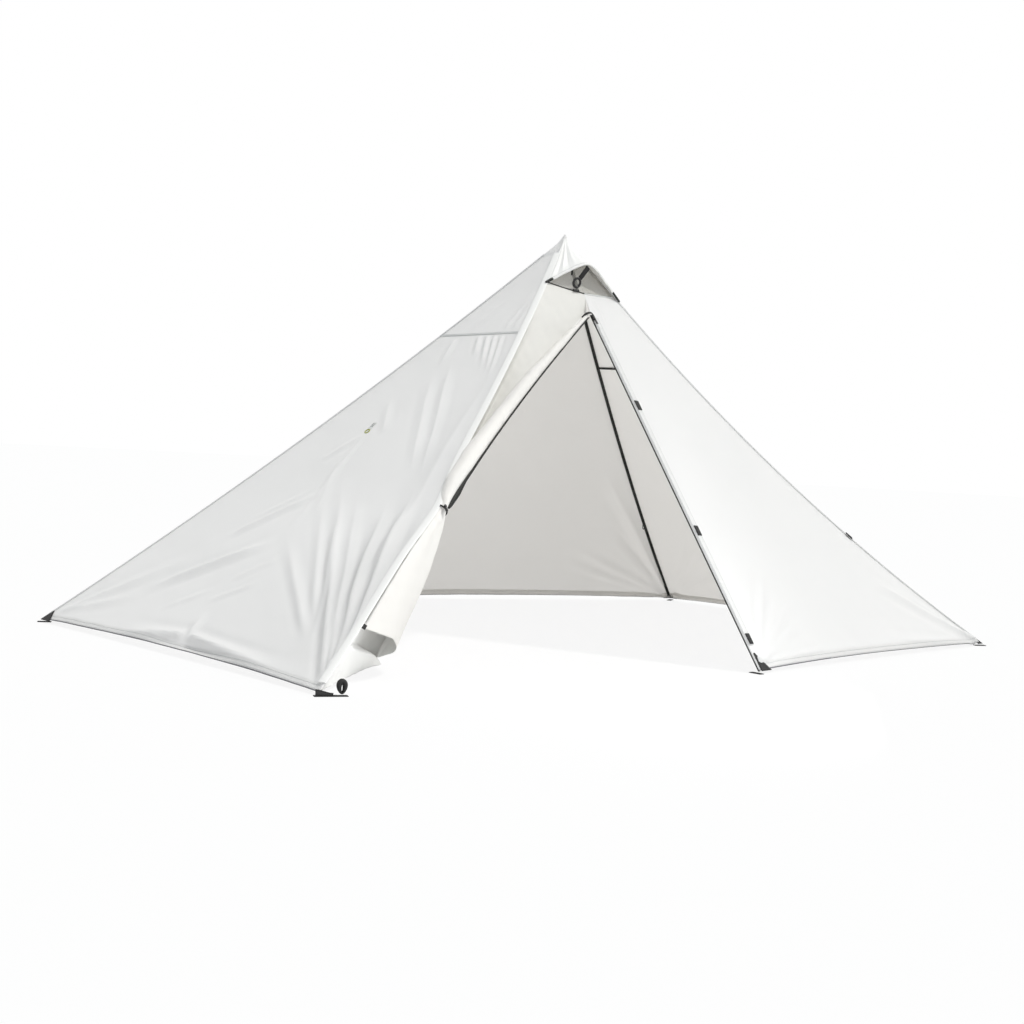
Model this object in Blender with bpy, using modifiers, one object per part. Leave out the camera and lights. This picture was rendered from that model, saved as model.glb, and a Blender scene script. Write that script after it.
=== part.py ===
"""Ridge-seamed pyramid shelter with its zipped door tied back.

World frame: metres, +Z up, ground at z = 0.  The door faces -Y and the
origin is the middle of the footprint on the ground.
"""

from math import atan2, cos, exp, pi, radians, sin

import bmesh
import bpy
from mathutils import Matrix, Vector

# Plan and height, measured at the hem's centre line
HALF_WIDTH = 1.500
HALF_DEPTH = 0.800
FRONT_REACH = 0.980
BACK_REACH = 1.200
PEAK_HEIGHT = 1.380

# How far each ridge hangs below a straight line at its middle
SAG_FRONT_LEFT = 0.016
SAG_BACK_LEFT = 0.028
SAG_FRONT_RIGHT = 0.074
SAG_BACK_RIGHT = 0.050
SAG_BACK_CENTRE = 0.020
HEM_LIFT = 0.012

# How far the drawn-back door pulls the front left ridge sideways, along it and at the tie
DOOR_PULL = 0.036
TIE_PULL = 0.022
TIE_PULL_SPREAD = 0.070

# Cloth, seams and clearances
CLOTH = 0.0020
SEAM_RADIUS = 0.0040
HEM_RADIUS = 0.0030
FIT_GAP = 0.0006
TOUCH_GAP = 0.0003
WEB_THICKNESS = 0.0022
WEB_WIDTH = 0.020

# Peak cap and the panels' upper ends, as shares of the ridge line
CAP_END = 0.036
PANEL_TOP = 0.040
CORNER_GAP = 0.008

# Door
DOOR_TOP_HEIGHT = 1.100
DOOR_TOP_SHIFT = -0.045
DOOR_TIE_SHARE = 0.655
FLAP_TIE_WIDTH = 0.022
FLAP_FOOT_X = 0.440
FLAP_FOOT_Y = 0.330
FLAP_TURN_BACK = 0.050
FLAP_TURN_SHARE = 0.80
FLAP_FOLD_DEPTH = 0.030
FLAP_FOLDS = 3
FLAP_CLOTH = 0.0030
FLAP_TURN_RADIUS = 0.0075
FLAP_EDGE_INSET = 0.010
FLAP_SWELL = 0.016
FLAP_BOW = 0.014

# Zip, storm strip and closure tabs on the right door edge
ZIP_WIDTH = 0.012
ZIP_THICKNESS = 0.0025
LEFT_ZIP_WIDTH = 0.010
LEFT_ZIP_THICKNESS = 0.0015
LEFT_ZIP_GAP = 0.0015
LEFT_ZIP_END_GAP = 0.0080
STRIP_WIDTH = 0.026
STRIP_THICKNESS = 0.0015
TAB_WIDTH = 0.020
TAB_LENGTH = 0.036
TAB_THICKNESS = 0.0030
TAB_HEIGHTS = (0.803, 0.410, 0.092)
SLIDER_WIDTH = 0.011
SLIDER_LENGTH = 0.022
SLIDER_HEIGHT = 0.0065
PULL_WIDTH = 0.009
PULL_LENGTH = 0.034
PULL_THICKNESS = 0.0020

# Vent hood over the door
HOOD_START = 0.34
HOOD_LEFT_SHARE = 0.126
HOOD_RIGHT_SHARE = 0.132
HOOD_REACH = 0.068
HOOD_BRIM_HEIGHT = 1.276
BRIM_CORNER = 0.16
BRIM_RADIUS = 0.0030
LIP_SHARE_MIDDLE = 0.147
LIP_SHARE_SIDE = 0.123
MESH_THICKNESS = 0.0010
PROP_PLACE = 0.80
PROP_WIDTH = 0.018
PROP_THICKNESS = 0.0035
PROP_LENGTH = 0.049
PROP_GAP = 0.0072
RING_RADIUS = 0.0150
RING_WIRE = 0.0042

# Corner patches, stake tabs and small loops
PATCH_RISE = 0.040
PATCH_REACH = 0.036
DOOR_PATCH_RISE = 0.062
DOOR_PATCH_REACH = 0.055
LOOP_PATCH_RISE = 0.024
LOOP_PATCH_REACH = 0.070
LOOP_PATCH_LIFT = 0.0018
PATCH_THICKNESS = 0.0012
STAKE_TAB_LENGTH = 0.044
STAKE_TAB_REACH = 0.008
LOOP_TAB_LENGTH = 0.088
STAKE_LOOP_WIDTH = 0.032
STAKE_LOOP_HEIGHT = 0.040
STAKE_LOOP_BAND = 0.015
STAKE_LOOP_WALL = 0.0030
STAKE_LOOP_TURN = -14.0
GUY_SHARE_LEFT = 0.488
GUY_PLACE_LEFT = 0.352
GUY_SHARE_RIGHT = 0.687
GUY_TAB_LENGTH = 0.032
GUY_TAB_WIDTH = 0.016
GUY_TAB_THICKNESS = 0.0012
GUY_LOOP_RADIUS = 0.0090
GUY_LOOP_WIRE = 0.0012
GUY_LOOP_GAP = 0.0019
TIE_CORD_RADIUS = 0.0018
TIE_CORD_FRONT = 0.0085
TOGGLE_LENGTH = 0.022
TOGGLE_RADIUS = 0.0040
INNER_LOOP_SHARE = 0.720
INNER_LOOP_RADIUS = 0.0120
INNER_LOOP_WIRE = 0.0015

# The tie cord's way round the door: how far along the tied width, how far out of the ridge
TIE_ROUTE = (
    (0.0010, SEAM_RADIUS + TIE_CORD_RADIUS + FIT_GAP),
    (0.0060, TIE_CORD_FRONT),
    (0.0150, TIE_CORD_FRONT),
    (0.0225, 0.0070),
    (0.0288, -0.0010),
    (0.0305, -0.0140),
    (0.0262, -0.0285),
    (0.0150, -0.0318),
    (0.0040, -0.0275),
    (-0.0010, -0.0150),
)
TOGGLE_PLACE = 0.70
TOGGLE_DROP = 0.20

# Mesh counts
PANEL_COLUMNS = 6
PANEL_ROWS = 14
SEAM_STEPS = 28
HEM_STEPS = 16
BRIM_STEPS = 20

UP = Vector((0.0, 0.0, 1.0))
GROUND_LIFT = WEB_THICKNESS + TOUCH_GAP + HEM_RADIUS
MIDDLE = (FRONT_REACH - BACK_REACH) / 2.0


def plan(x, y, z=0.0):
    """Return a point given from the peak's plumb line, at hem level."""
    return Vector((x, y + MIDDLE, z + GROUND_LIFT))


APEX = plan(0.0, 0.0, PEAK_HEIGHT)
DOOR_TOP_SHARE = 1.0 - DOOR_TOP_HEIGHT / PEAK_HEIGHT
DOOR_TOP = plan(DOOR_TOP_SHIFT, -FRONT_REACH * DOOR_TOP_SHARE, DOOR_TOP_HEIGHT)
CORNERS = {
    "front_left": plan(-HALF_WIDTH, -HALF_DEPTH),
    "front_centre": plan(0.0, -FRONT_REACH),
    "front_right": plan(HALF_WIDTH, -HALF_DEPTH),
    "back_right": plan(HALF_WIDTH, HALF_DEPTH),
    "back_centre": plan(0.0, BACK_REACH),
    "back_left": plan(-HALF_WIDTH, HALF_DEPTH),
}
SAGS = {
    "front_left": SAG_FRONT_LEFT,
    "front_right": SAG_FRONT_RIGHT,
    "back_right": SAG_BACK_RIGHT,
    "back_centre": SAG_BACK_CENTRE,
    "back_left": SAG_BACK_LEFT,
}


# Lines and surfaces of the shelter

def line_point(name, share):
    """Point on a ridge or on the door line, from the peak (0) to the ground (1)."""
    foot = CORNERS[name]
    if name == "front_centre":
        if share < DOOR_TOP_SHARE:
            return APEX.lerp(DOOR_TOP, share / DOOR_TOP_SHARE)
        return DOOR_TOP.lerp(foot, (share - DOOR_TOP_SHARE) / (1.0 - DOOR_TOP_SHARE))
    run = foot - APEX
    level = Vector((run.x, run.y, 0.0)).normalized()
    inward = (level.cross(UP)).cross(run).normalized()
    if inward.z > 0.0:
        inward.negate()
    arch = 4.0 * share * (1.0 - share)
    point = APEX.lerp(foot, share) + inward * SAGS[name] * arch
    if name == "front_left":
        away = (share - DOOR_TIE_SHARE) / TIE_PULL_SPREAD
        pull = DOOR_PULL * arch + TIE_PULL * exp(-away * away)
        point += (CORNERS["front_centre"] - foot).normalized() * pull
    return point


def line_direction(name, share):
    """Unit direction down a ridge at a share of its length."""
    step = 0.002
    low = max(share - step, 0.0)
    high = min(share + step, 1.0)
    return (line_point(name, high) - line_point(name, low)).normalized()


def inset_point(name, other, share, distance):
    """Point level with a ridge's, off it by a distance square to it, towards another."""
    start = line_point(name, share)
    along = line_direction(name, share)
    across = (line_point(other, share) - start).normalized()
    return start + across * distance / along.cross(across).length


def side_inset(name):
    """Distance from a ridge or the door line to the cloth's edge."""
    if name == "front_centre":
        return ZIP_WIDTH / 2.0 + FIT_GAP
    return SEAM_RADIUS + FIT_GAP


def panel_height(left, right):
    """Distance from the peak to the hem line between two corners."""
    hem = (CORNERS[right] - CORNERS[left]).normalized()
    run = CORNERS[left] - APEX
    return (run - hem * run.dot(hem)).length


def panel_bottom(left, right):
    """Share at which a panel's cloth ends, just above the hem's binding."""
    return 1.0 - (HEM_RADIUS + FIT_GAP) / panel_height(left, right)


def lifted(share, place):
    """Share moved up between the stakes, where the hem is cut as a shallow arch."""
    return share * (1.0 - HEM_LIFT / PEAK_HEIGHT * 4.0 * place * (1.0 - place) * share ** 3)


def panel_point(left, right, share, place):
    """Point on the cloth between two ridges; place runs from left (0) to right (1)."""
    low = lifted(share, place)
    start = inset_point(left, right, low, side_inset(left))
    end = inset_point(right, left, low, side_inset(right))
    return start.lerp(end, place)


def panel_normal(left, right, share, place):
    """Outward normal of the cloth between two ridges."""
    step = 0.01
    across = panel_point(left, right, share, min(place + step, 1.0))
    across -= panel_point(left, right, share, max(place - step, 0.0))
    down = panel_point(left, right, min(share + step, 1.0), place)
    down -= panel_point(left, right, share - step, place)
    return down.cross(across).normalized()


def tie_way():
    """Direction across the front's cloth at the tie, square to the front left ridge."""
    hem = (CORNERS["front_centre"] - CORNERS["front_left"]).normalized()
    along = line_direction("front_left", DOOR_TIE_SHARE)
    return (hem - along * hem.dot(along)).normalized()


def lip_share(outward):
    """Share of the vent's lip, from the front's middle (0) out to either ridge (1)."""
    return LIP_SHARE_MIDDLE + (LIP_SHARE_SIDE - LIP_SHARE_MIDDLE) * outward


def patch_size(name):
    """Height and widest reach of a corner's patch."""
    if name == "front_centre":
        return DOOR_PATCH_RISE, DOOR_PATCH_REACH
    if name == "front_left":
        return LOOP_PATCH_RISE, LOOP_PATCH_REACH
    return PATCH_RISE, PATCH_REACH


def patch_shares(name):
    """Top and bottom of a corner patch, as shares of its ridge."""
    low_gap = HEM_RADIUS + FIT_GAP + PATCH_THICKNESS
    bottom = 1.0 - 2.0 * low_gap / PEAK_HEIGHT
    return bottom - patch_size(name)[0] / (CORNERS[name] - APEX).length, bottom


# Objects

def material(name, colour, roughness, metallic=0.0):
    """Make a Principled material."""
    made = bpy.data.materials.new(name)
    made.use_nodes = True
    shader = made.node_tree.nodes["Principled BSDF"]
    shader.inputs["Base Color"].default_value = (*colour, 1.0)
    shader.inputs["Roughness"].default_value = roughness
    shader.inputs["Metallic"].default_value = metallic
    return made


def new_collection(name):
    """Make a collection in the scene."""
    made = bpy.data.collections.new(name)
    bpy.context.scene.collection.children.link(made)
    return made


def finish(obj, group, skin):
    """Put an object in its collection and give it its own material."""
    for old in list(obj.users_collection):
        old.objects.unlink(obj)
    group.objects.link(obj)
    obj.data.materials.clear()
    obj.data.materials.append(material(obj.name, *skin))
    return obj


def mesh_object(name, shape, group, skin, smooth=True):
    """Turn a bmesh into a finished object."""
    mesh = bpy.data.meshes.new(name)
    shape.to_mesh(mesh)
    shape.free()
    if smooth:
        mesh.shade_smooth()
        mesh.set_sharp_from_angle(angle=radians(40.0))
    return finish(bpy.data.objects.new(name, mesh), group, skin)


def sheet(name, point, columns, rows, thickness, group, skin, side=-1.0):
    """Cloth of even thickness on a surface point(down, across), both from 0 to 1.

    side -1 thickens inwards from the outer face, and 1 outwards.
    """
    shape = bmesh.new()
    bmesh.ops.create_grid(shape, x_segments=columns, y_segments=rows, size=0.5)
    for vertex in shape.verts:
        vertex.co = point(0.5 - vertex.co.y, vertex.co.x + 0.5)
    obj = mesh_object(name, shape, group, skin)
    solid = obj.modifiers.new("thickness", "SOLIDIFY")
    solid.thickness = thickness
    solid.offset = side
    solid.use_even_offset = True
    return obj


def tube(name, points, radius, group, skin, resolution=1):
    """Round cord or seam roll along a line of points."""
    curve = bpy.data.curves.new(name, "CURVE")
    curve.dimensions = "3D"
    curve.bevel_depth = radius
    curve.bevel_resolution = resolution
    curve.use_fill_caps = True
    spline = curve.splines.new("POLY")
    spline.points.add(len(points) - 1)
    for slot, point in zip(spline.points, points):
        slot.co = (*point, 1.0)
    return finish(bpy.data.objects.new(name, curve), group, skin)


def block(name, size, place, group, skin, bevel=0.0):
    """Box of a given size in a placed frame, its edges rounded."""
    shape = bmesh.new()
    bmesh.ops.create_cube(shape, size=1.0)
    bmesh.ops.scale(shape, vec=size, verts=shape.verts)
    obj = mesh_object(name, shape, group, skin, smooth=False)
    obj.matrix_world = place
    if bevel > 0.0:
        edge = obj.modifiers.new("edges", "BEVEL")
        edge.width = bevel
        edge.segments = 2
        edge.limit_method = "ANGLE"
    return obj


def torus(name, major, minor, place, group, skin, stretch=1.0):
    """Closed ring in a placed frame, its hole along the frame's z."""
    bpy.ops.mesh.primitive_torus_add(
        major_radius=major, minor_radius=minor, major_segments=20, minor_segments=8)
    obj = bpy.context.object
    obj.name = name
    obj.data.name = name
    for vertex in obj.data.vertices:
        vertex.co.y *= stretch
    obj.data.shade_smooth()
    obj.matrix_world = place
    return finish(obj, group, skin)


def hang_on(child, parent):
    """Parent an object without moving it."""
    bpy.context.view_layer.update()
    child.parent = parent
    child.matrix_parent_inverse = parent.matrix_world.inverted()


def pivot(obj, place, pivots):
    """Hang a moving piece on an empty that stands on its joint's axis."""
    axle = bpy.data.objects.new("pivot_" + obj.name, None)
    axle.matrix_world = place
    axle.empty_display_size = 0.02
    pivots.objects.link(axle)
    hang_on(obj, axle)
    return axle


def frame_at(origin, x_axis, z_axis):
    """Matrix with its x and z near the given directions and its origin at a point."""
    z_unit = z_axis.normalized()
    x_unit = (x_axis - z_unit * x_axis.dot(z_unit)).normalized()
    y_unit = z_unit.cross(x_unit)
    turn = Matrix((x_unit, y_unit, z_unit)).transposed().to_4x4()
    return Matrix.Translation(origin) @ turn


# Skins: linear colour, roughness, metallic

CLOTH_OUTER = ((0.72, 0.75, 0.75), 0.55)
CLOTH_BRIGHT = ((0.82, 0.84, 0.84), 0.55)
CLOTH_INNER = ((0.62, 0.62, 0.59), 0.60)
TAPE_GREY = ((0.16, 0.17, 0.15), 0.70)
SEAM_LIGHT = ((0.60, 0.62, 0.61), 0.65)
WEB_BLACK = ((0.012, 0.012, 0.012), 0.75)
PLASTIC_BLACK = ((0.010, 0.010, 0.010), 0.40)
NET_GREY = ((0.35, 0.35, 0.33), 0.80)
CORD_GREEN = ((0.55, 0.62, 0.10), 0.60)


# Sections of the shelter

def build_panels(group):
    """Six cloth sides, each between two ridges and open over the door."""
    full = (
        ("panel_left", "back_left", "front_left", CLOTH_OUTER),
        ("panel_right", "front_right", "back_right", CLOTH_BRIGHT),
        ("panel_back_right", "back_right", "back_centre", CLOTH_INNER),
        ("panel_back_left", "back_centre", "back_left", CLOTH_INNER),
    )
    for name, left, right, skin in full:
        bottom = panel_bottom(left, right)

        def surface(down, across, left=left, right=right, bottom=bottom):
            share = PANEL_TOP + (bottom - PANEL_TOP) * down
            return panel_point(left, right, share, across)

        sheet(name, surface, PANEL_COLUMNS, PANEL_ROWS, CLOTH, group, skin)

    front_bottom = panel_bottom("front_centre", "front_right")

    def front_surface(down, across):
        """The right front side, from the vent's lip down."""
        top = lip_share(across)
        share = top + (front_bottom - top) * down
        return panel_point("front_centre", "front_right", share, across)

    sheet("panel_front_right", front_surface, PANEL_COLUMNS, PANEL_ROWS, CLOTH,
          group, CLOTH_BRIGHT)

    def head_surface(down, across):
        """The small fixed piece between the vent and the door's top."""
        top = lip_share(1.0 - across)
        share = top + (DOOR_TOP_SHARE - top) * down
        return panel_point("front_left", "front_centre", share, across)

    sheet("door_head", head_surface, 3, 3, CLOTH, group, CLOTH_OUTER)


def build_cap(group):
    """Solid reinforced tip that closes the peak above the panels."""
    names = list(CORNERS)
    shape = bmesh.new()
    bmesh.ops.create_cone(shape, cap_ends=True, segments=len(names), radius1=1.0,
                          radius2=0.0, depth=1.0)
    ring = sorted((v for v in shape.verts if v.co.z < 0.0),
                  key=lambda v: atan2(v.co.y, v.co.x))
    feet = sorted((line_point(name, CAP_END) for name in names),
                  key=lambda p: atan2(p.y - APEX.y, p.x))
    for vertex in shape.verts:
        if vertex.co.z > 0.0:
            vertex.co = APEX
    for vertex, foot in zip(ring, feet):
        vertex.co = foot
    bmesh.ops.recalc_face_normals(shape, faces=shape.faces)
    mesh_object("peak_cap", shape, group, CLOTH_BRIGHT, smooth=False)


def build_seams(group):
    """A rolled seam down each ridge, from the cap to just above the corner patch."""
    for name in SAGS:
        length = (CORNERS[name] - APEX).length
        start = CAP_END + FIT_GAP / length
        stop = patch_shares(name)[0] - (SEAM_RADIUS + TOUCH_GAP) / length
        points = [line_point(name, start + (stop - start) * step / SEAM_STEPS)
                  for step in range(SEAM_STEPS + 1)]
        skin = SEAM_LIGHT if name == "front_left" else TAPE_GREY
        tube("ridge_seam_" + name, points, SEAM_RADIUS, group, skin)


def build_hems(group):
    """A bound hem along the foot of each side."""
    sides = (
        ("hem_left", "back_left", "front_left"),
        ("hem_front_right", "front_centre", "front_right"),
        ("hem_right", "front_right", "back_right"),
        ("hem_back_right", "back_right", "back_centre"),
        ("hem_back_left", "back_centre", "back_left"),
    )
    for name, left, right in sides:
        length = (CORNERS[right] - CORNERS[left]).length
        end = CORNER_GAP / length
        points = []
        for step in range(HEM_STEPS + 1):
            place = end + (1.0 - 2.0 * end) * step / HEM_STEPS
            share = lifted(1.0, place)
            points.append(line_point(left, share).lerp(line_point(right, share), place))
        tube(name, points, HEM_RADIUS, group, TAPE_GREY)


def build_corners(group):
    """A folded reinforcement patch and a flat stake tab at each corner."""
    neighbours = {
        "front_left": (None, "front_centre"),
        "front_centre": (None, "front_right"),
        "front_right": ("front_centre", "back_right"),
        "back_right": ("front_right", "back_centre"),
        "back_centre": ("back_right", "back_left"),
        "back_left": ("back_centre", "front_left"),
    }
    for name, (left, right) in neighbours.items():
        build_patch(name, left, right, group)
        build_stake_tab(name, group)


def build_patch(name, left, right, group):
    """Patch over a corner, on one cloth side or folded round the ridge."""
    top, bottom = patch_shares(name)
    reach = patch_size(name)[1]
    lift = LOOP_PATCH_LIFT if name == "front_left" else FIT_GAP

    def wing(down, distance, neighbour):
        """Point on the wing that lies on the side towards a neighbour."""
        share = top + (bottom - top) * down
        start = line_point(name, share)
        along = line_direction(name, share)
        across = (line_point(neighbour, share) - start).normalized()
        normal = along.cross(across).normalized()
        if normal.dot(Vector((start.x, start.y - APEX.y, 0.0))) < 0.0:
            normal.negate()
        return start + across * distance + normal * lift

    def surface(down, across):
        """Two wings that meet on the ridge, or one wing on the front."""
        widest = reach * (0.12 + 0.88 * down)
        if left is None:
            edge = side_inset(name)
            return wing(down, edge + (widest - edge) * across, right)
        if abs(across - 0.5) < 1e-6:
            on_left = wing(down, 0.0, left)
            on_right = wing(down, 0.0, right)
            return (on_left + on_right) / 2.0
        if across < 0.5:
            return wing(down, widest * (1.0 - 2.0 * across), left)
        return wing(down, widest * (2.0 * across - 1.0), right)

    sheet("corner_patch_" + name, surface, 4, 3, PATCH_THICKNESS, group, WEB_BLACK, side=1.0)


def loop_way():
    """Direction of the front left stake tab, which lies under the door's foot."""
    hem = (CORNERS["front_centre"] - CORNERS["front_left"]).normalized()
    return Matrix.Rotation(radians(STAKE_LOOP_TURN), 3, "Z") @ hem


def build_stake_tab(name, group):
    """Flat webbing on the ground under a corner, pointing away from the middle."""
    corner = CORNERS[name]
    outward = Vector((corner.x, corner.y - APEX.y, 0.0)).normalized()
    length = STAKE_TAB_LENGTH
    reach = STAKE_TAB_REACH
    if name == "front_left":
        outward = loop_way()
        length = LOOP_TAB_LENGTH
        reach = LOOP_TAB_LENGTH - STAKE_TAB_REACH
    centre = corner + outward * (reach - length / 2.0)
    centre.z = WEB_THICKNESS / 2.0
    place = frame_at(centre, outward, UP)
    block("stake_tab_" + name, (length, WEB_WIDTH, WEB_THICKNESS), place, group, WEB_BLACK)


def build_stake_loop(group, pivots):
    """Standing webbing loop at the end of the front left stake tab."""
    outward = loop_way()
    end = CORNERS["front_left"] + outward * (LOOP_TAB_LENGTH - STAKE_TAB_REACH)
    centre = end - outward * STAKE_LOOP_WIDTH / 2.0
    centre.z = WEB_THICKNESS + TOUCH_GAP + STAKE_LOOP_HEIGHT / 2.0
    across = outward.cross(UP)

    def outline(spline, inset):
        """Teardrop with its point down, drawn in by an inset."""
        count = 20
        spline.points.add(count - 1)
        spline.use_cyclic_u = True
        half_height = STAKE_LOOP_HEIGHT / 2.0 - inset
        half_width = STAKE_LOOP_WIDTH / 2.0 - inset
        for index, slot in enumerate(spline.points):
            angle = 2.0 * pi * index / count
            taper = 0.62 + 0.38 * sin(angle)
            slot.co = (half_width * cos(angle) * taper, half_height * sin(angle), 0.0, 1.0)

    curve = bpy.data.curves.new("stake_loop", "CURVE")
    curve.dimensions = "2D"
    curve.fill_mode = "BOTH"
    curve.extrude = STAKE_LOOP_BAND / 2.0
    outline(curve.splines.new("POLY"), 0.0)
    outline(curve.splines.new("POLY"), STAKE_LOOP_WALL)
    obj = finish(bpy.data.objects.new("stake_loop", curve), group, WEB_BLACK)
    turn = Matrix((outward, UP, across)).transposed().to_4x4()
    obj.matrix_world = Matrix.Translation(centre) @ turn
    pivot(obj, Matrix.Translation(centre - UP * STAKE_LOOP_HEIGHT / 2.0) @ turn, pivots)


def zip_frame():
    """Origin at the door's top, x across the zip, y up it, z out of the cloth."""
    foot = CORNERS["front_centre"]
    up = (DOOR_TOP - foot).normalized()
    normal = panel_normal("front_centre", "front_right", 0.6, 0.03)
    across = up.cross(normal).normalized()
    normal = across.cross(up)
    return DOOR_TOP, across, up, normal


def build_zip(group, pivots):
    """Zip edge, storm strip and closure tabs, with the slider and its pull."""
    top, across, up, normal = zip_frame()
    foot = CORNERS["front_centre"]
    length = (top - foot).length
    low_end = HEM_RADIUS + FIT_GAP
    run = length - low_end
    turn = Matrix((across, up, normal)).transposed().to_4x4()

    def placed(x, down, z):
        """Frame on the zip line, x to the right of it, some way down, z out."""
        return Matrix.Translation(top + across * x - up * down + normal * z) @ turn

    size = (ZIP_WIDTH, run, ZIP_THICKNESS)
    block("zip_edge", size, placed(0.0, run / 2.0, -ZIP_THICKNESS / 2.0), group, TAPE_GREY)

    strip_start = 2.0 * FIT_GAP
    strip_top = DOOR_TOP_SHARE
    strip_bottom = patch_shares("front_centre")[0] - FIT_GAP / PEAK_HEIGHT

    def strip_point(down, across, lift):
        """Point over the cloth beside the zip, raised off it."""
        share = strip_top + (strip_bottom - strip_top) * down
        width = (line_point("front_right", share) - line_point("front_centre", share)).length
        place = (strip_start + STRIP_WIDTH * across) / width
        point = panel_point("front_centre", "front_right", share, place)
        return point + panel_normal("front_centre", "front_right", share, place + 0.02) * lift

    def strip_surface(down, across):
        return strip_point(down, across, 1.5 * FIT_GAP)

    sheet("storm_strip", strip_surface, 2, PANEL_ROWS, STRIP_THICKNESS, group, CLOTH_BRIGHT,
          side=1.0)

    for label, height in zip(("upper", "middle", "lower"), TAB_HEIGHTS):
        share = 1.0 - height / PEAK_HEIGHT
        down = (share - strip_top) / (strip_bottom - strip_top)
        lift = 1.5 * FIT_GAP + STRIP_THICKNESS + 2.0 * TOUCH_GAP + TAB_THICKNESS / 2.0
        centre = strip_point(down, 0.5, lift)
        side = strip_point(down, 0.9, lift) - strip_point(down, 0.1, lift)
        place = frame_at(centre, side, side.cross(up))
        size = (TAB_WIDTH, TAB_LENGTH, TAB_THICKNESS)
        block("closure_tab_" + label, size, place, group, WEB_BLACK, bevel=0.0006)

    slider_z = TOUCH_GAP + SLIDER_HEIGHT / 2.0
    slider_down = SLIDER_LENGTH / 2.0
    size = (SLIDER_WIDTH, SLIDER_LENGTH, SLIDER_HEIGHT)
    place = placed(0.0, slider_down, slider_z)
    slider = block("zip_slider", size, place, group, PLASTIC_BLACK, bevel=0.0012)

    pull_z = TOUCH_GAP + SLIDER_HEIGHT + TOUCH_GAP + PULL_THICKNESS / 2.0
    hinge_down = SLIDER_LENGTH * 0.25
    size = (PULL_WIDTH, PULL_LENGTH, PULL_THICKNESS)
    place = placed(0.0, hinge_down + PULL_LENGTH / 2.0, pull_z)
    pull = block("zip_pull", size, place, group, PLASTIC_BLACK, bevel=0.0005)
    axle = pivot(pull, placed(0.0, hinge_down, pull_z), pivots)
    hang_on(axle, slider)


def flap_top():
    """Share at which the left door half starts, just below the fixed head."""
    return DOOR_TOP_SHARE + 3.0 * FIT_GAP / PEAK_HEIGHT


def flap_edge(share):
    """The folded edge that shows, from the door's top to the tie and down to the foot."""
    top = flap_top()
    bottom = panel_bottom("back_left", "front_left")
    hem = (CORNERS["front_centre"] - CORNERS["front_left"]).normalized()
    tie_in = line_point("front_left", DOOR_TIE_SHARE) + tie_way() * FLAP_TIE_WIDTH
    if share < DOOR_TIE_SHARE:
        head_edge = inset_point("front_centre", "front_left", top, side_inset("front_centre"))
        amount = (share - top) / (DOOR_TIE_SHARE - top)
        return head_edge.lerp(tie_in, amount) - hem * sin(amount * pi) * FLAP_BOW
    foot = CORNERS["front_left"] + Vector((FLAP_FOOT_X, FLAP_FOOT_Y, 0.0))
    foot.z = GROUND_LIFT + FLAP_CLOTH
    amount = (share - DOOR_TIE_SHARE) / (bottom - DOOR_TIE_SHARE)
    swell = sin(amount * pi) * FLAP_SWELL
    return tie_in.lerp(foot, amount) + hem * swell


def flap_span(share):
    """Where the door's cloth leaves the ridge, and its visible edge."""
    start = inset_point("front_left", "front_centre", share, SEAM_RADIUS + TOUCH_GAP)
    if share > DOOR_TIE_SHARE:
        start.z = max(start.z, GROUND_LIFT + FLAP_CLOTH)
    return start, flap_edge(share)


def build_flap(group):
    """The left half of the front, drawn back to its ridge, tied, and swept in below."""
    top = flap_top()
    tie = DOOR_TIE_SHARE
    bottom = panel_bottom("back_left", "front_left")

    def surface(down, across):
        share = top + (bottom - top) * down
        start, end = flap_span(share)
        width = (end - start).length
        run = (end - start).normalized()
        inward = line_direction("front_left", share).cross(run).normalized()
        if inward.y < 0.0:
            inward.negate()
        above = max(0.0, 1.0 - share / tie)
        turn_back = FLAP_TURN_BACK * min(1.0, 6.0 * down) * (0.35 + 0.65 * min(1.0, 4.0 * above))
        if share > tie:
            turn_back *= max(0.25, 1.0 - 2.0 * (share - tie) / (bottom - tie))
        front = width - FLAP_EDGE_INSET
        turn_back = min(turn_back, front * FLAP_TURN_SHARE)
        radius = FLAP_TURN_RADIUS
        travel = across * (front + pi * radius + turn_back)
        if travel <= front:
            wave = sin(travel / front * 2.0 * pi * FLAP_FOLDS) * sin(travel / front * pi)
            grow = 0.0
            if share > tie:
                grow = min(1.0, (share - tie) / (bottom - tie) * 1.6)
            return start + run * travel + inward * wave * FLAP_FOLD_DEPTH * grow
        if travel <= front + pi * radius:
            angle = (travel - front) / radius
            along = front + radius * sin(angle)
            return start + run * along + inward * radius * (1.0 - cos(angle))
        back = travel - front - pi * radius
        return start + run * (front - back) + inward * 2.0 * radius

    sheet("door_flap", surface, 24, 22, FLAP_CLOTH, group, CLOTH_BRIGHT, side=1.0)

    end_gap = LEFT_ZIP_END_GAP / (CORNERS["front_left"] - APEX).length
    zip_top = top + 2.0 * end_gap
    zip_end = tie - end_gap

    def tape(down, across):
        """Zip tape just past the folded edge, from the door's top to the tie."""
        start, end = flap_span(zip_top + (zip_end - zip_top) * down)
        run = (end - start).normalized()
        return end + run * (LEFT_ZIP_GAP + LEFT_ZIP_WIDTH * across)

    sheet("zip_edge_left", tape, 1, 16, LEFT_ZIP_THICKNESS, group, TAPE_GREY, side=1.0)


def hood_points():
    """The hood's left and right feet and its brim's middle."""
    left = line_point("front_left", HOOD_LEFT_SHARE)
    right = line_point("front_right", HOOD_RIGHT_SHARE)
    share = 1.0 - HOOD_BRIM_HEIGHT / PEAK_HEIGHT
    middle = line_point("front_centre", share)
    middle += Vector((0.0, -HOOD_REACH, 0.0))
    return left, middle, right


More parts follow.
